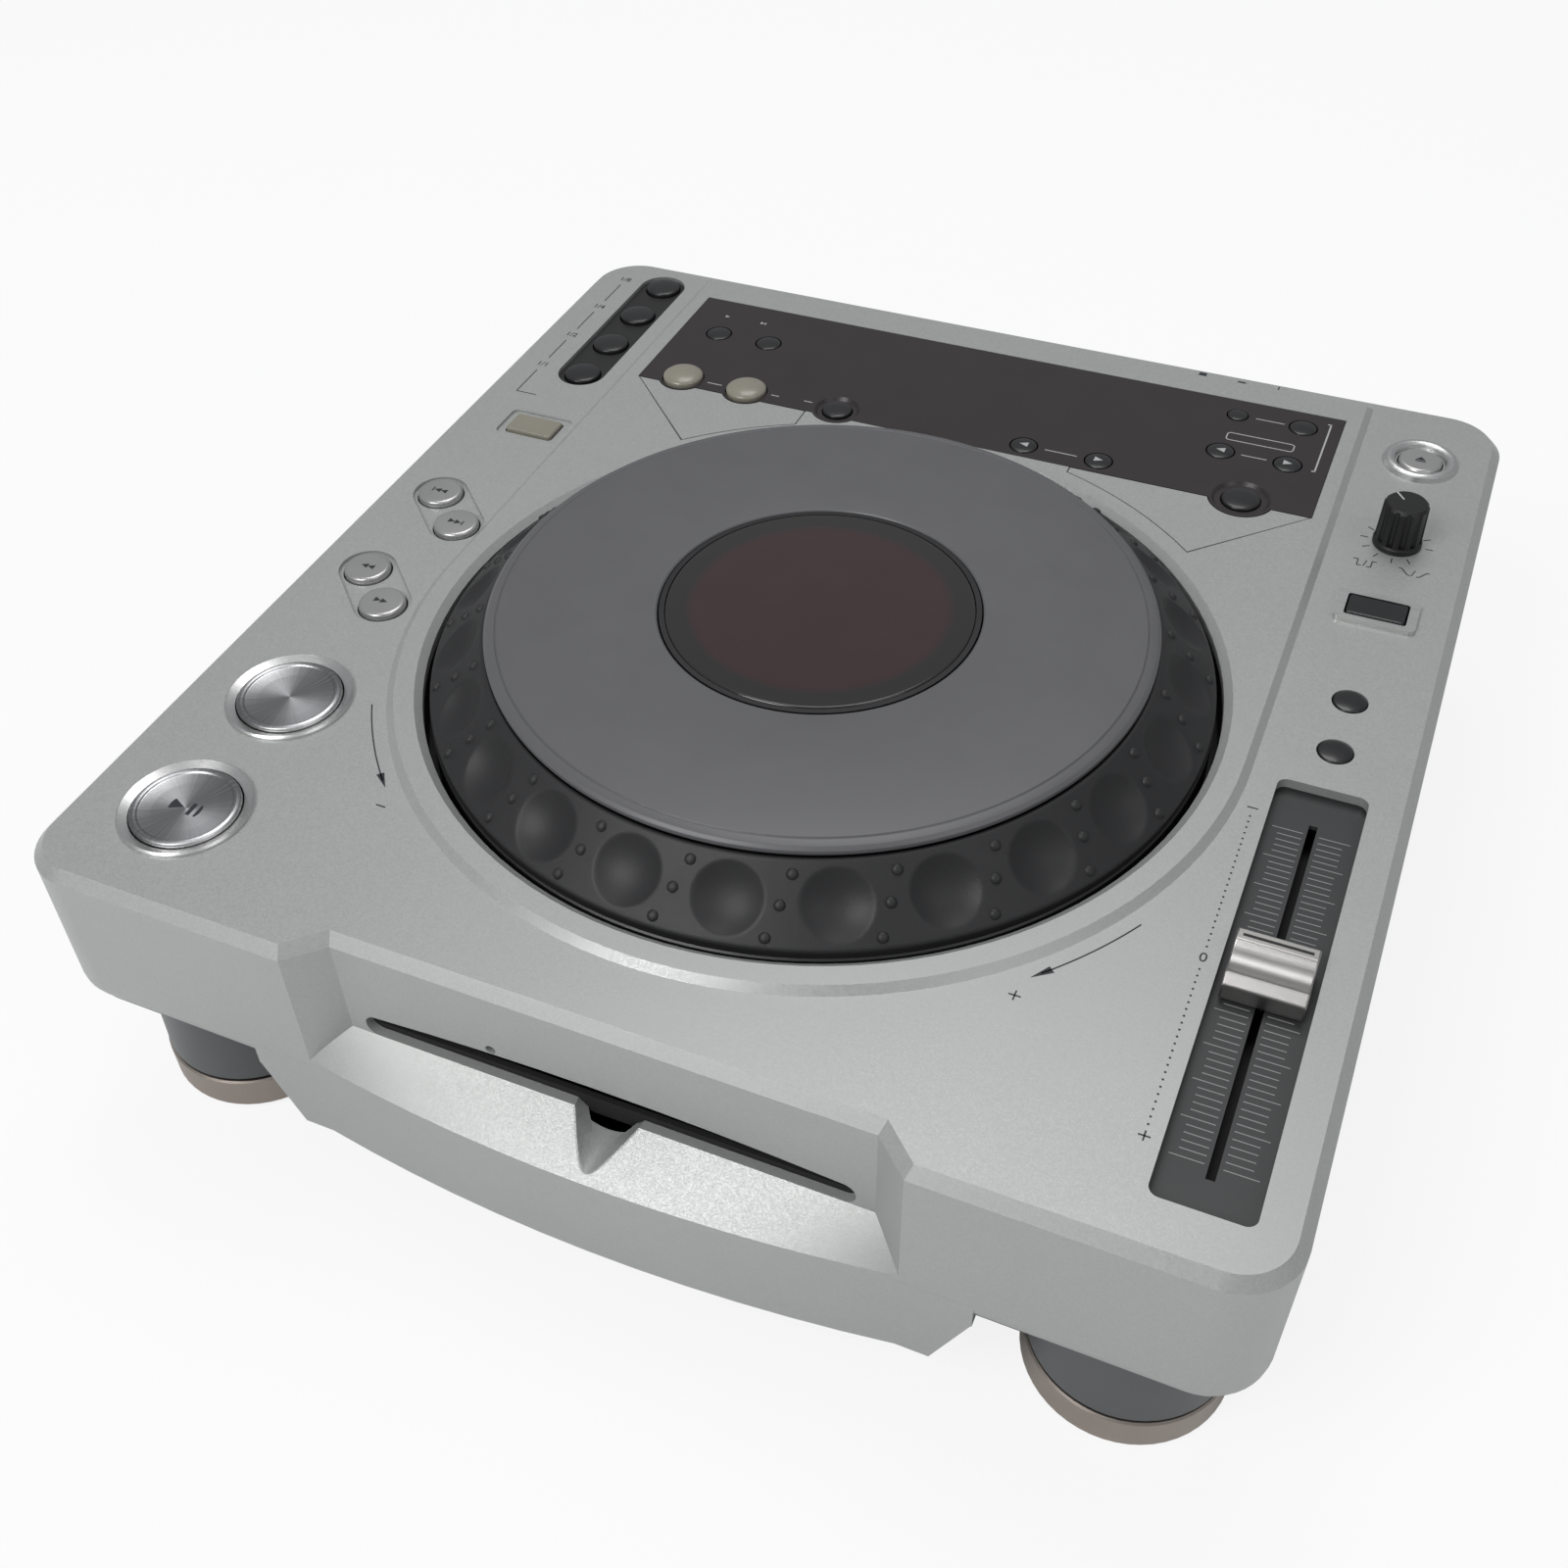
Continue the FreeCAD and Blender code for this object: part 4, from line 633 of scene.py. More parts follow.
def arc_line(centre, radius, start, stop, width, z):
    """Printed arc: radius times (cos, sin) of the angles from start to stop, in degrees."""
    angle = np.radians(np.linspace(start, stop, 24))
    path = np.column_stack([np.cos(angle), np.sin(angle)]) * radius * MM + np.array(centre)
    return stroke(path, width * MM, z)


def cross_mark(x, y, half, z, width=0.35):
    return [line(x - half, y, x + half, y, width, z), line(x, y - half, x, y + half, width, z)]


def skip_marks(node, turn, bar):
    """Double arrow with an end bar if asked, on top of a key."""
    x, y, z = top_spot(node)
    sign = 1 if turn == 0 else -1
    marks = [arrow_head(x + sign * k, y, 2.0, 0.95, turn, z) for k in (-1.3, 0.75)]
    if bar:
        marks.append(line(x + sign * 2.2, y - 0.95, x + sign * 2.2, y + 0.95, 0.35, z))
    return marks


def put_marks(name, marks, material, node):
    """Printed marks as one piece that rides with a node's body."""
    piece = gathered(name, marks, material)
    return ride(piece, node, replace=False)


def left_column_marks(z):
    """Loop lengths, their scale and the link to the key under them."""
    marks = []
    keys = ["loop_%d_button" % i for i in range(1, 5)]
    places = [middle(key) for key in keys]
    x = places[0][0] / MM - 14.6
    for (_, cy), text in zip(places, ("1/8", "1/4", "1/2", "1/1")):
        marks.append(words(text, 2.3, x, cy / MM, z))
    for (_, upper), (_, lower) in zip(places, places[1:]):
        marks.append(line(x, upper / MM - 4.0, x, lower / MM + 4.0, 0.3, z))
    last = places[-1][1] / MM
    marks += [line(x, last - 4.0, x, last - 17.6, 0.3, z),
              line(x, last - 17.6, x + 7.0, last - 17.6, 0.3, z)]
    return marks


def turn_marks(z):
    """Arrows beside the dial with minus and plus signs for the two ways that it turns."""
    marks = []
    centre = (DIAL_X, DIAL_Y)
    for start, stop, sign in ((-149.5, -135.0, 1), (-30.0, -43.5, -1)):
        marks.append(arc_line(centre, 117.2, start, stop, 0.35, z))
        a = math.radians(stop)
        x, y = DIAL_X / MM + 117.2 * math.cos(a), DIAL_Y / MM + 117.2 * math.sin(a)
        marks.append(arrow_head(x, y, 5.4, 1.0, a + sign * math.pi / 2, z))
    marks.append(line(-79.8, -113.7, -77.2, -113.7, 0.4, z))
    marks += cross_mark(81.5, -111.7, 1.4, z)
    return marks


def knob_marks(z):
    """Ticks round the knob and the two small curves under it: a step and a slope."""
    x, y, _ = top_spot("speed_knob")
    marks = []
    for i in range(11):
        a = math.radians(-60.0 - 30.0 * i)
        marks.append(line(x + 7.8 * math.cos(a), y + 7.8 * math.sin(a), x + 9.9 * math.cos(a),
                          y + 9.9 * math.sin(a), 0.3, z))
    step = [(-2.6, 1.4), (-1.2, 1.4), (-1.2, -1.4), (0.0, -1.4)]
    rise = [(1.4, -1.4), (2.6, -1.4), (2.6, 1.4), (3.8, 1.4)]
    slope = [(-3.2, 1.4), (-2.3, 1.2), (-0.6, -1.2), (0.2, -1.4)]
    climb = [(1.8, -1.4), (2.6, -1.2), (4.2, 1.2), (5.0, 1.4)]
    for middle_x, curves in ((x - 7.4, (step, rise)), (x + 5.6, (slope, climb))):
        for points in curves:
            for (ax, ay), (bx, by) in zip(points, points[1:]):
                marks.append(line(middle_x + ax, y - 12.6 + ay, middle_x + bx, y - 12.6 + by,
                                  0.3, z))
        marks.append(line(middle_x + 0.5, y - 14.0, middle_x + 1.2, y - 11.2, 0.25, z))
    return marks


def tempo_marks(z):
    """Dotted scale beside the fader with minus, nought and plus."""
    x, y, _ = top_spot("fader_panel")
    x -= 14.5
    marks = [dot(x, y + s * (3.5 + 2.0 * i), 0.28, z) for s in (-1, 1) for i in range(23)]
    marks.append(line(x - 1.3, y + 50.5, x + 1.3, y + 50.5, 0.35, z))
    marks += cross_mark(x, y - 50.5, 1.3, z)
    marks.append(words("0", 2.8, x, y, z))
    return marks


def rear_marks(z):
    """Small pressed and raised signs of the power key, with a line to its place."""
    marks = []
    for x, up in ((60.0, 0.8), (72.5, -0.2)):
        marks.append(shape([(x - 1.2, 152.6), (x + 1.2, 152.6), (x + 1.2, 152.6 + 0.9 + up),
                            (x - 1.2, 152.6 + 0.9 + up)], z))
        marks.append(line(x - 1.9, 152.4, x + 1.9, 152.4, 0.25, z))
    marks += [line(84.0, 154.4, 84.0, 151.6, 0.35, z), line(84.0, 151.6, 91.0, 151.6, 0.3, z)]
    return marks


def panel_marks(z):
    """White signs on the display panel."""
    def at(key):
        return top_spot(key + "_button")[:2]

    marks = []
    for left, right, gap in (("cue_in", "cue_out", 8.6), ("folder_back", "folder_forward", 6.6),
                             ("delete", "memory", 5.6), ("call_back", "call_forward", 6.2)):
        (x0, y0), (x1, y1) = at(left), at(right)
        marks.append(line(x0 + gap, (y0 + y1) / 2, x1 - gap, (y0 + y1) / 2, 0.35, z))
    x0, y0 = at("cue_out")
    x1, y1 = at("reloop")
    marks += [line(x0 + 8.4, y0 + 0.6, x0 + 11.0, y0 + 0.6, 0.35, z),
              line(x1 - 11.4, y1 + 0.6, x1 - 8.6, y1 + 0.6, 0.35, z)]
    x, y = at("time_mode")
    marks += [arrow_head(x + step, y + 11.2, 1.4, 0.7, 0.0, z) for step in (-1.8, 11.0)]
    marks.append(line(x + 12.0, y + 10.5, x + 12.0, y + 11.9, 0.35, z))
    (x0, y0), (x1, y1) = at("call_back"), at("call_forward")
    marks += rounded_outline((x0 + x1) / 2, y0 + 8.9, 20.0, 4.0, 1.0, 0.35, z)
    x, y = at("memory")
    x, low, high = x + 7.6, y + 4.5, y1 - 1.0
    marks.append(line(x, low, x, high, 0.5, z))
    marks += [line(x - 1.0, end, x + 0.25, end, 0.5, z) for end in (low, high)]
    return marks


def rounded_outline(x, y, w, h, r, width, z):
    """Outline of a rounded rectangle as one closed printed line."""
    corners = [(x + w / 2 - r, y + h / 2 - r, 0), (x - w / 2 + r, y + h / 2 - r, 90),
               (x - w / 2 + r, y - h / 2 + r, 180), (x + w / 2 - r, y - h / 2 + r, 270)]
    sides = []
    for cx, cy, start in corners:
        angle = np.radians(start + np.linspace(0, 90, 5))
        sides.append(np.column_stack([np.cos(angle), np.sin(angle)]))
    unit = np.concatenate(sides)
    base = np.repeat([(cx, cy) for cx, cy, _ in corners], 5, axis=0)
    outer = (base + unit * (r + width / 2)) * MM
    inner = (base + unit * (r - width / 2)) * MM
    n = len(outer)
    points = np.concatenate([np.column_stack([ring, np.full(n, h0)])
                             for h0 in (z, z + 0.00006) for ring in (outer, inner)])
    i = np.arange(n)
    j = (i + 1) % n
    faces = np.concatenate([np.stack([i, i + n, j + n, j], -1),
                            np.stack([i + 2 * n, j + 2 * n, j + 3 * n, i + 3 * n], -1),
                            np.stack([i, j, j + 2 * n, i + 2 * n], -1),
                            np.stack([i + n, i + 3 * n, j + 3 * n, j + n], -1)])
    return [(points, [tuple(f) for f in faces.tolist()])]


def fader_ticks(z):
    """Scale on both sides of the fader slot: a tick every 2 mm and a long one every 10 mm."""
    x, y, _ = top_spot("fader_panel")
    marks = []
    for i in range(-25, 26):
        reach = 9.2 if i % 5 == 0 else 7.6
        for s in (-1, 1):
            marks.append(line(x + s * 1.9, y + 2.0 * i, x + s * reach, y + 2.0 * i, 0.24, z))
    return marks


# Case

def front_shelf(material):
    """Sloping shelf with the finger scoop, as a grid of u across and v from back to front. With
    s(x) = sqrt(R^2 - x^2) - R + bulge the bow of the front edge, the points are x = u (back + v
    (front - back)), y = y0 - v (depth + s(u front)) and z = z0 - drop (y0 - y) / (depth + s(x)).
    The scoop's cone has its base at q = 0, its axis a and its taper k: with t = q.a it is
    q.q - t^2 = (r - k t)^2, and its lower side is the lower root for the height."""
    front, back, depth, bulge, drop = SHELF_FRONT_HALF, SHELF_BACK_HALF, SHELF_DEPTH, 0.0058, 0.0077
    bow_r = (front ** 2 + bulge ** 2) / (2 * bulge)
    rows, columns = 71, 361
    v, u = np.meshgrid(np.linspace(1.0, 0.0, rows), np.linspace(-1.0, 1.0, columns), indexing="ij")
    x = u * (back + v * (front - back))
    y = SHELF_Y - v * (depth + np.sqrt(bow_r ** 2 - (u * front) ** 2) - bow_r + bulge)
    shelf = SHELF_Z - drop * (SHELF_Y - y) / (depth + np.sqrt(bow_r ** 2 - x ** 2) - bow_r + bulge)
    slant, r, k = 0.62, 0.01097, 0.45
    a_y, a_z = -1 / math.hypot(1, slant), -slant / math.hypot(1, slant)
    q_x, q_y = x - 0.0015, y + 0.1527
    along = q_y * a_y
    square = 1 - (1 + k * k) * a_z ** 2
    linear = 2 * r * k * a_z - 2 * (1 + k * k) * along * a_z
    rest = q_x ** 2 + q_y ** 2 - (1 + k * k) * along ** 2 + 2 * r * k * along - r * r
    root = linear ** 2 - 4 * square * rest
    cone = TOP_Z - 0.0258 - (linear + np.sqrt(np.maximum(root, 0.0))) / (2 * square)
    skin = shelf + 0.00006
    top = np.where((root > 0) & (cone < skin), cone, skin)
    high = np.stack([x, y, top], -1).reshape(-1, 3)
    low = high - np.array([0.0, 0.0, 0.0005])
    total = rows * columns
    i, j = np.meshgrid(np.arange(rows - 1), np.arange(columns - 1), indexing="ij")
    quad = np.stack([i * columns + j, i * columns + j + 1, (i + 1) * columns + j + 1,
                     (i + 1) * columns + j], -1).reshape(-1, 4)
    rim = np.concatenate([np.arange(columns - 1), columns - 1 + columns * np.arange(rows - 1),
                          total - 1 - np.arange(columns - 1),
                          columns * (rows - 1) - columns * np.arange(rows - 1)])
    ahead = np.roll(rim, -1)
    walls = np.stack([rim, rim + total, ahead + total, ahead], -1)
    faces = np.concatenate([quad, quad[:, ::-1] + total, walls]).tolist()
    piece = put_mesh("case_shelf", np.concatenate([high, low]), faces, material, 30.0)
    return ride(piece, "top_cover", replace=False)


def chin_shoulders(material):
    """Fills over the ends of the chin, where the front wall's eased edge leaves a groove."""
    front, back = SHELF_Y - SHELF_DEPTH - 0.00003, SHELF_Y - SHELF_DEPTH + 0.007
    parts = []
    for x0, x1 in ((-0.092, -0.0745), (0.0745, 0.092)):
        outline = [(x0, front), (x1, front), (x1, back), (x0, back)]
        parts.append(slab_arrays(outline, 0.0407, 0.0482))
    ride(gathered("chin_shoulders", parts, material), "top_cover", replace=False)


def screw_arrays(x, y, z_seat):
    """Screw head seen from below: a shallow dome turned in 20 sides."""
    profile = [(0.0, z_seat - 0.0005), (0.0022, z_seat - 0.0003), (0.0029, z_seat + 0.0004),
               (0.0029, z_seat + 0.0012), (0.0, z_seat + 0.0012)]
    return turned_arrays(profile, (x, y), 20)


# Operators

LAMPS = (("key_lamp", (-0.2, 0.7, 2.0), 1.0, 11.0), ("fill_lamp", (1.3, -0.5, 1.5), 0.9, 3.0),
         ("front_lamp", (-0.5, -1.15, 1.45), 0.8, 15.0))
LAMP_AIM = (0.0, 0.0, 0.05)
INNER_LOOKS = (
    ("sheet_steel", brushed, ((0.5, 0.5, 0.5), "Y", 0.36), ("drive_frame", "traverse_plate")),
    ("pot_black", moulded, ((0.006, 0.006, 0.006), 0.6), ("control_pots",)),
    ("board_green_mask", moulded, ((0.02, 0.11, 0.05), 0.35, 0.001, 0.00002, 0.3),
     ("main_board", "power_supply", "control_boards")),
    ("inner_black", moulded, ((0.02, 0.02, 0.021), 0.5),
     ("disc_guide", "turntable_hub", "pickup_sled", "mains_inlet", "display_modules")),
    ("roller_rubber", moulded, ((0.03, 0.03, 0.03), 0.7), ("loading_roller",)),
    ("power_key_black", moulded, ((0.02, 0.02, 0.021), 0.4), ("power_button",)),
    ("jack_nickel", brushed, ((0.6, 0.56, 0.46), "Y", 0.25), ("signal_jacks",)))
SCREW_PLACES = ((-0.1, -0.1528), (0.1, -0.1528), (-0.1451, 0.1178), (0.1451, 0.1178))
SCREW_SEAT_Z = DECK_Z - 0.0505
CAMERA_PLACE = (0.134405, -0.352112, 0.38724)
CAMERA_TURN = (46.0353, 1.4958, 23.5639)
FLOOR_GLOW = 0.86
SKY_STRENGTH = 0.31


class PLAYER_OT_stage(bpy.types.Operator):
    """Floor, soft lamps, white surroundings and the camera"""
    bl_idname = "player.stage"
    bl_label = "Stage"

    def execute(self, context):
        corners = np.array([(-4, -4, 0), (4, -4, 0), (4, 4, 0), (-4, 4, 0)], float)
        put_mesh("floor", corners, [(0, 1, 2, 3)], self.floor())
        self.world(context.scene)
        for name, place, size, power in LAMPS:
            lamp = bpy.data.lights.new(name, "AREA")
            lamp.size = size
            lamp.energy = power
            made = bpy.data.objects.new(name, lamp)
            made.location = place
            aim = Vector(LAMP_AIM) - Vector(place)
            made.rotation_euler = aim.to_track_quat("-Z", "Y").to_euler()
            context.scene.collection.objects.link(made)
        lens = bpy.data.cameras.new("photo_camera")
        lens.lens, lens.sensor_width = 40.285, 36.0
        lens.shift_x, lens.shift_y = 0.01613, -0.000485
        camera = bpy.data.objects.new("photo_camera", lens)
        camera.location = CAMERA_PLACE
        camera.rotation_euler = [math.radians(v) for v in CAMERA_TURN]
        context.scene.collection.objects.link(camera)
        context.scene.camera = camera
        context.scene.view_settings.view_transform = "Standard"
        return {"FINISHED"}

    def floor(self):
        """Matt white that glows a little to the camera and is clear from below."""
        f = Finish("floor_white", (0.88, 0.88, 0.88), 0.9)
        matt = Wire(f, f.shader.outputs[0])
        seen = f.node("ShaderNodeLightPath", output="Is Camera Ray") * FLOOR_GLOW
        lit = f.node("ShaderNodeMixShader", {}, {0: seen, 1: matt, 2: f.node("ShaderNodeEmission")})
        back = f.node("ShaderNodeNewGeometry", output="Backfacing")
        f.finish(f.node("ShaderNodeMixShader", {},
                        {0: back, 1: lit, 2: f.node("ShaderNodeBsdfTransparent")}))
        return f.material

    def world(self, scene):
        """White to the camera, and a soft grey light to everything else."""
        scene.world = bpy.data.worlds.new("soft_studio")
        scene.world.use_nodes = True
        tree = scene.world.node_tree
        soft = tree.nodes["Background"]
        soft.inputs["Color"].default_value = (0.95, 0.97, 1.0, 1.0)
        soft.inputs["Strength"].default_value = SKY_STRENGTH
        seen = add_node(tree, "ShaderNodeLightPath").outputs["Is Camera Ray"]
        white = add_node(tree, "ShaderNodeBackground", {}, {0: (1.0, 1.0, 1.0, 1.0), 1: 1.0})
        mix = add_node(tree, "ShaderNodeMixShader", {},
                       {0: seen, 1: soft.outputs[0], 2: white.outputs[0]})
        tree.links.new(mix.outputs[0], tree.nodes["World Output"].inputs[0])


class PLAYER_OT_case(bpy.types.Operator):
    """Silver case, inlays, floor pan and rear panel"""
    bl_idname = "player.case"
    bl_label = "Case"

    def execute(self, context):
        colours = context.scene.player_colours
        silver = flake_silver("silver_flake_paint", tuple(colours.silver), 0.42)
        merged_copy("case_top", "top_cover", silver, 24.0)
        front_shelf(silver)
        chin_shoulders(silver)
        dress("cheek_plates", silver)
        dress("bottom_pan", moulded("pan_grey_paint", (0.16, 0.16, 0.165), 0.5, 0.0006))
        dress("rear_panel", moulded("rear_black_paint", (0.03, 0.03, 0.032), 0.5, 0.0005))
        dress("display_panel",
              moulded("panel_tinted", tuple(colours.panel), 0.34, 0.0005, 0.000008))
        dress("loop_strip", moulded("strip_black", (0.013, 0.013, 0.013), 0.46))
        dress("fader_panel", moulded("fader_tray_black", (0.04, 0.041, 0.042), 0.46))
        screw = brushed("screw_zinc", (0.45, 0.45, 0.45), "X", 0.35)
        heads = [screw_arrays(x, y, SCREW_SEAT_Z) for x, y in SCREW_PLACES]
        ride(gathered("case_screws", heads, screw), "bottom_pan", replace=False)
        return {"FINISHED"}


class PLAYER_OT_dial(bpy.types.Operator):
    """Touch dial: rubber ring with dimples and bumps, plate, window, carrier and tub"""
    bl_idname = "player.dial"
    bl_label = "Dial"

    def execute(self, context):
        colours, sizes = context.scene.player_colours, context.scene.player_sizes
        rubber = moulded("ring_rubber", tuple(colours.rubber), 0.5, 0.00035, 0.00004)
        dial_ring(sizes, rubber)
        ring_bumps(sizes, rubber)
        centre = (DIAL_X, DIAL_Y)
        low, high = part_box("touch_plate")
        outer = (high[0] - low[0]) / 2
        grey = moulded("plate_satin_grey", tuple(colours.plate), 0.4, 0.0003, 0.000006, 0.05)
        plate = turned("dial_plate", plate_profile(high[2], outer, 0.0418)[:-1], centre, grey, 256,
                       0.00015)
        ride(plate, "touch_plate")
        dark = moulded("dial_black", tuple(colours.black), 0.38)
        merged_copy("dial_tub", "jog_tub", dark, 30.0)
        merged_copy("dial_carrier", "jog_hub", dark, 30.0)
        lens_low, lens_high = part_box("display_lens")
        r = (lens_high[0] - lens_low[0]) / 2
        section = [(0.0, lens_low[2]), (r, lens_low[2]), (r, lens_high[2] - 0.0003),
                   (r - 0.0004, lens_high[2]), (0.0, lens_high[2])]
        lens = turned("dial_window", section, centre, self.glass(colours, centre), 160, 0.0002)
        ride(lens, "display_lens")
        return {"FINISHED"}

    def glass(self, colours, centre):
        """Smoked window: reddish in the middle, with a dark grey mask towards the edge."""
        tint = tuple(colours.window)
        f = Finish("window_smoked", tint, 0.12, 0.0, 0.4, 0.05)
        x, y, _ = f.split(f.coords((*centre, 0.0)))
        radius = (x * x + y * y) ** 0.5
        mask = radius.ramp(0.0318, 0.0352)
        haze = f.noise(f.coords(), 0.02, 2.0)
        inside = f.blend(haze, shade(tint, -0.12), shade(tint, 0.12))
        f.put("Base Color", f.blend(mask, inside, (0.024, 0.022, 0.022)))
        f.put("Roughness", haze * 0.06 + 0.09)
        return f.material


class PLAYER_OT_keys(bpy.types.Operator):
    """Every push button with its finish and its sign"""
    bl_idname = "player.keys"
    bl_label = "Keys"

    def execute(self, context):
        colours = context.scene.player_colours
        black = moulded("key_satin_black", tuple(colours.black), 0.3, 0.0004, 0.000008, 0.25)
        silver = moulded("key_silver", tuple(colours.front), 0.3, 0.0005, 0.000005, 0.2, 0.75)
        pearl = moulded("key_pearl", tuple(colours.pearl), 0.3, 0.0008, 0.00001, 0.3)
        ink = printed("key_ink", tuple(colours.ink))
        light = printed("key_light_ink", tuple(colours.white_ink))
        for number in range(1, 5):
            round_key("loop_%d_button" % number, "dome", black)
        for name in ("time_mode", "text_mode", "delete", "memory", "call_back", "call_forward",
                     "folder_back", "folder_forward", "tempo_range", "master_tempo", "reloop",
                     "quick_return"):
            round_key(name + "_button", "dome", black)
        for name in ("cue_in", "cue_out"):
            round_key(name + "_button", "high", pearl)
        for name, turn, bar in (("track_back", math.pi, True), ("track_forward", 0.0, True),
                                ("search_back", math.pi, False), ("search_forward", 0.0, False)):
            round_key(name + "_button", "flat", silver)
            put_marks(name + "_sign", skip_marks(name + "_button", turn, bar), ink,
                      name + "_button")
        self.transport(ink)
        self.eject(silver, ink)
        for name, turn in (("folder_back", math.pi), ("folder_forward", 0.0),
                           ("call_back", math.pi), ("call_forward", 0.0)):
            x, y, z = top_spot(name + "_button")
            put_marks(name + "_sign", [arrow_head(x, y, 2.6, 1.2, turn, z)], light,
                      name + "_button")
        merged_copy("reverse_key", "reverse_button", pearl, 30.0, 0.0003)
        merged_copy("jog_mode_key", "jog_mode_button", black, 30.0, 0.0004)
        rings = brushed("bezel_silver", (0.7, 0.7, 0.69), "X", 0.3)
        merged_copy("key_surrounds", "button_bezels", rings, 30.0)
        return {"FINISHED"}

    def transport(self, ink):
        """Two large keys: a dish inside a rolled rim, turned on a lathe."""
        for name in ("play", "cue"):
            node = name + "_button"
            x, y = middle(node)
            low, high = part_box(node)
            metal = spun_metal("turned_" + name, (0.66, 0.66, 0.67), (x, y, 0.0))
            r = (high[1] - low[1]) / 2
            z = high[2]
            section = [(0.0, TOP_Z - 0.003), (r, TOP_Z - 0.003), (r, z - 0.0009),
                       (r - 0.0004, z - 0.0003),
                       (r - 0.0011, z), (r - 0.0018, z - 0.0001), (r - 0.0022, z - 0.0005),
                       (r * 0.6, z - 0.0008), (r * 0.3, z - 0.00095), (0.0, z - 0.001)]
            ride(turned(name + "_key", section, (x, y), metal, 128, 0.0002), node)
        x, y, z = top_spot("play_button")
        z -= 0.001
        signs = [arrow_head(x - 2.6, y, 4.2, 2.1, 0.0, z)]
        signs += [line(x + bar, y - 2.0, x + bar, y + 2.0, 1.1, z) for bar in (1.7, 3.9)]
        put_marks("play_sign", signs, ink, "play_button")

    def eject(self, silver, ink):
        round_key("eject_button", "flat", silver)
        x, y, z = top_spot("eject_button")
        signs = [arrow_head(x, y + 0.4, 1.7, 1.5, math.pi / 2, z),
                 line(x - 1.5, y - 1.1, x + 1.5, y - 1.1, 0.4, z)]
        put_marks("eject_sign", signs, ink, "eject_button")


class PLAYER_OT_fader(bpy.types.Operator):
    """Fader cap with its black line, the scale in its tray and the speed knob"""
    bl_idname = "player.fader"
    bl_label = "Fader and knob"

    def execute(self, context):
        colours = context.scene.player_colours
        metal = brushed("fader_silver", (0.42, 0.41, 0.4), "X", 0.34)
        merged_copy("fader_grip", "fader_cap", metal, 30.0, 0.0005)
        low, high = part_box("fader_cap")
        x0, x1 = low[0] / MM + 1.4, high[0] / MM - 1.4
        y = high[1] / MM - 1.9
        ink = printed("fader_ink", (0.01, 0.01, 0.011))
        put_marks("fader_line", [line(x0, y, x1, y, 0.75, high[2])], ink, "fader_cap")
        light = printed("tray_ink", shade(tuple(colours.white_ink), -0.4))
        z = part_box("fader_panel")[0][2] + 0.0012
        put_marks("fader_scale", fader_ticks(z), light, "fader_panel")
        black = moulded("knob_black", (0.006, 0.006, 0.0065), 0.5, 0.0004, 0.00002)
        merged_copy("knob_grip", "speed_knob", black, 30.0, 0.00025)
        x, y, z = top_spot("speed_knob")
        z -= 0.0004
        a = math.radians(128.0)
        pointer = [line(x + 1.7 * math.cos(a), y + 1.7 * math.sin(a), x + 5.6 * math.cos(a),
                        y + 5.6 * math.sin(a), 0.75, z)]
        put_marks("knob_pointer", pointer, printed("pointer_ink", (0.6, 0.6, 0.6)), "speed_knob")
        return {"FINISHED"}


class PLAYER_OT_marks(bpy.types.Operator):
    """Printed signs on the case and on the display panel"""
    bl_idname = "player.marks"
    bl_label = "Marks"

    def execute(self, context):
        colours = context.scene.player_colours
        ink = printed("case_ink", tuple(colours.ink))
        light = printed("panel_ink", tuple(colours.white_ink))
        dark = (left_column_marks(TOP_Z) + turn_marks(TOP_Z) + knob_marks(TOP_Z)
                + tempo_marks(TOP_Z))
        put_marks("case_marks", dark, ink, "top_cover")
        put_marks("power_marks", rear_marks(TOP_Z), ink, "top_cover")
        put_marks("panel_marks", panel_marks(DECK_Z), light, "display_panel")
        return {"FINISHED"}


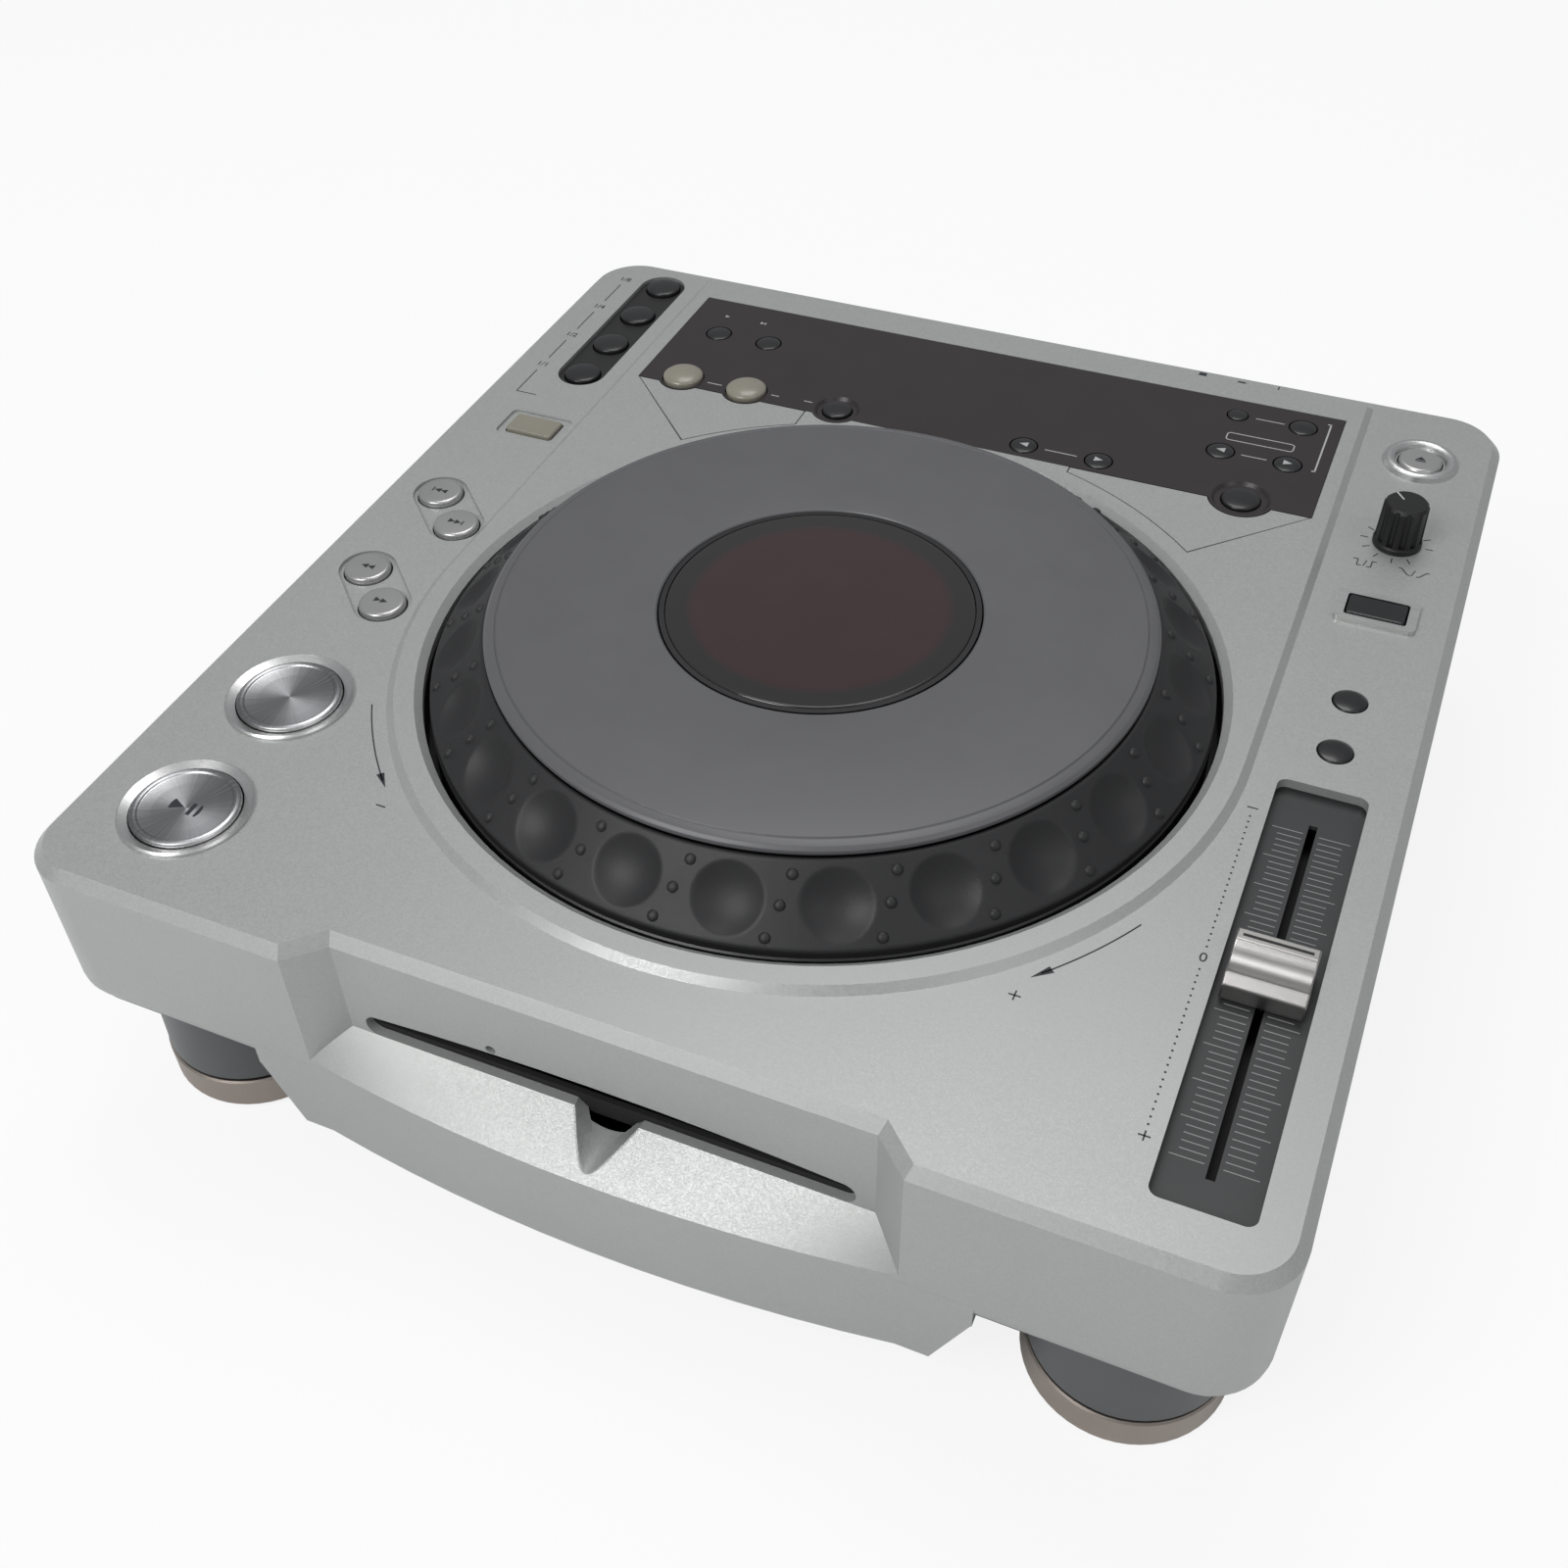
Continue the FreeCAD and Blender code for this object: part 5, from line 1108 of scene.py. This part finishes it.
class PLAYER_OT_feet(bpy.types.Operator):
    """Four round feet with their metal rings and pads"""
    bl_idname = "player.feet"
    bl_label = "Feet"

    def execute(self, context):
        colours = context.scene.player_colours
        merged_copy("foot_bodies", "foot_collars",
                    moulded("foot_grey", tuple(colours.collar), 0.38, 0.0005, 0.00001, 0.1), 30.0)
        merged_copy("foot_metal_rings", "foot_rings",
                    brushed("foot_ring_metal", tuple(colours.foot_metal), "Z", 0.34), 30.0)
        dress("foot_pads", moulded("foot_pad_rubber", (0.02, 0.02, 0.02), 0.8))
        return {"FINISHED"}


class PLAYER_OT_inside(bpy.types.Operator):
    """Drive, boards, rear sockets and everything else inside the case"""
    bl_idname = "player.inside"
    bl_label = "Inside and rear"

    def execute(self, context):
        for name, kind, look, nodes in INNER_LOOKS:
            material = kind(name, *look)
            for node in nodes:
                dress(node, material)
        felt = Finish("felt_black", (0.012, 0.012, 0.012), 0.95)
        pile = felt.noise(felt.coords(), 0.0003, 4.0)
        felt.put("Base Color", felt.blend(pile, (0.006, 0.006, 0.006), (0.022, 0.022, 0.022)))
        felt.bump(pile, 0.0002)
        dress("slot_felt", felt.material)
        return {"FINISHED"}


class PLAYER_PT_panel(bpy.types.Panel):
    """Steps that dress the player"""
    bl_idname = "PLAYER_PT_panel"
    bl_label = "Disc player"
    bl_space_type = "VIEW_3D"
    bl_region_type = "UI"
    bl_category = "Player"

    def draw(self, context):
        for step in STEPS:
            self.layout.operator(step.bl_idname)
        for name in PlayerColours.__annotations__:
            self.layout.prop(context.scene.player_colours, name)
        for name in PlayerSizes.__annotations__:
            self.layout.prop(context.scene.player_sizes, name)


STEPS = (PLAYER_OT_stage, PLAYER_OT_case, PLAYER_OT_dial, PLAYER_OT_keys, PLAYER_OT_fader,
         PLAYER_OT_marks, PLAYER_OT_feet, PLAYER_OT_inside)
CLASSES = (PlayerColours, PlayerSizes) + STEPS + (PLAYER_PT_panel,)


def register():
    for item in CLASSES:
        bpy.utils.register_class(item)
    bpy.types.Scene.player_colours = bpy.props.PointerProperty(type=PlayerColours)
    bpy.types.Scene.player_sizes = bpy.props.PointerProperty(type=PlayerSizes)


def unregister():
    del bpy.types.Scene.player_sizes
    del bpy.types.Scene.player_colours
    for item in reversed(CLASSES):
        bpy.utils.unregister_class(item)


def main():
    register()
    for step in STEPS:
        group, name = step.bl_idname.split(".")
        getattr(getattr(bpy.ops, group), name)()
    bpy.context.view_layer.update()


if __name__ == "__main__":
    main()
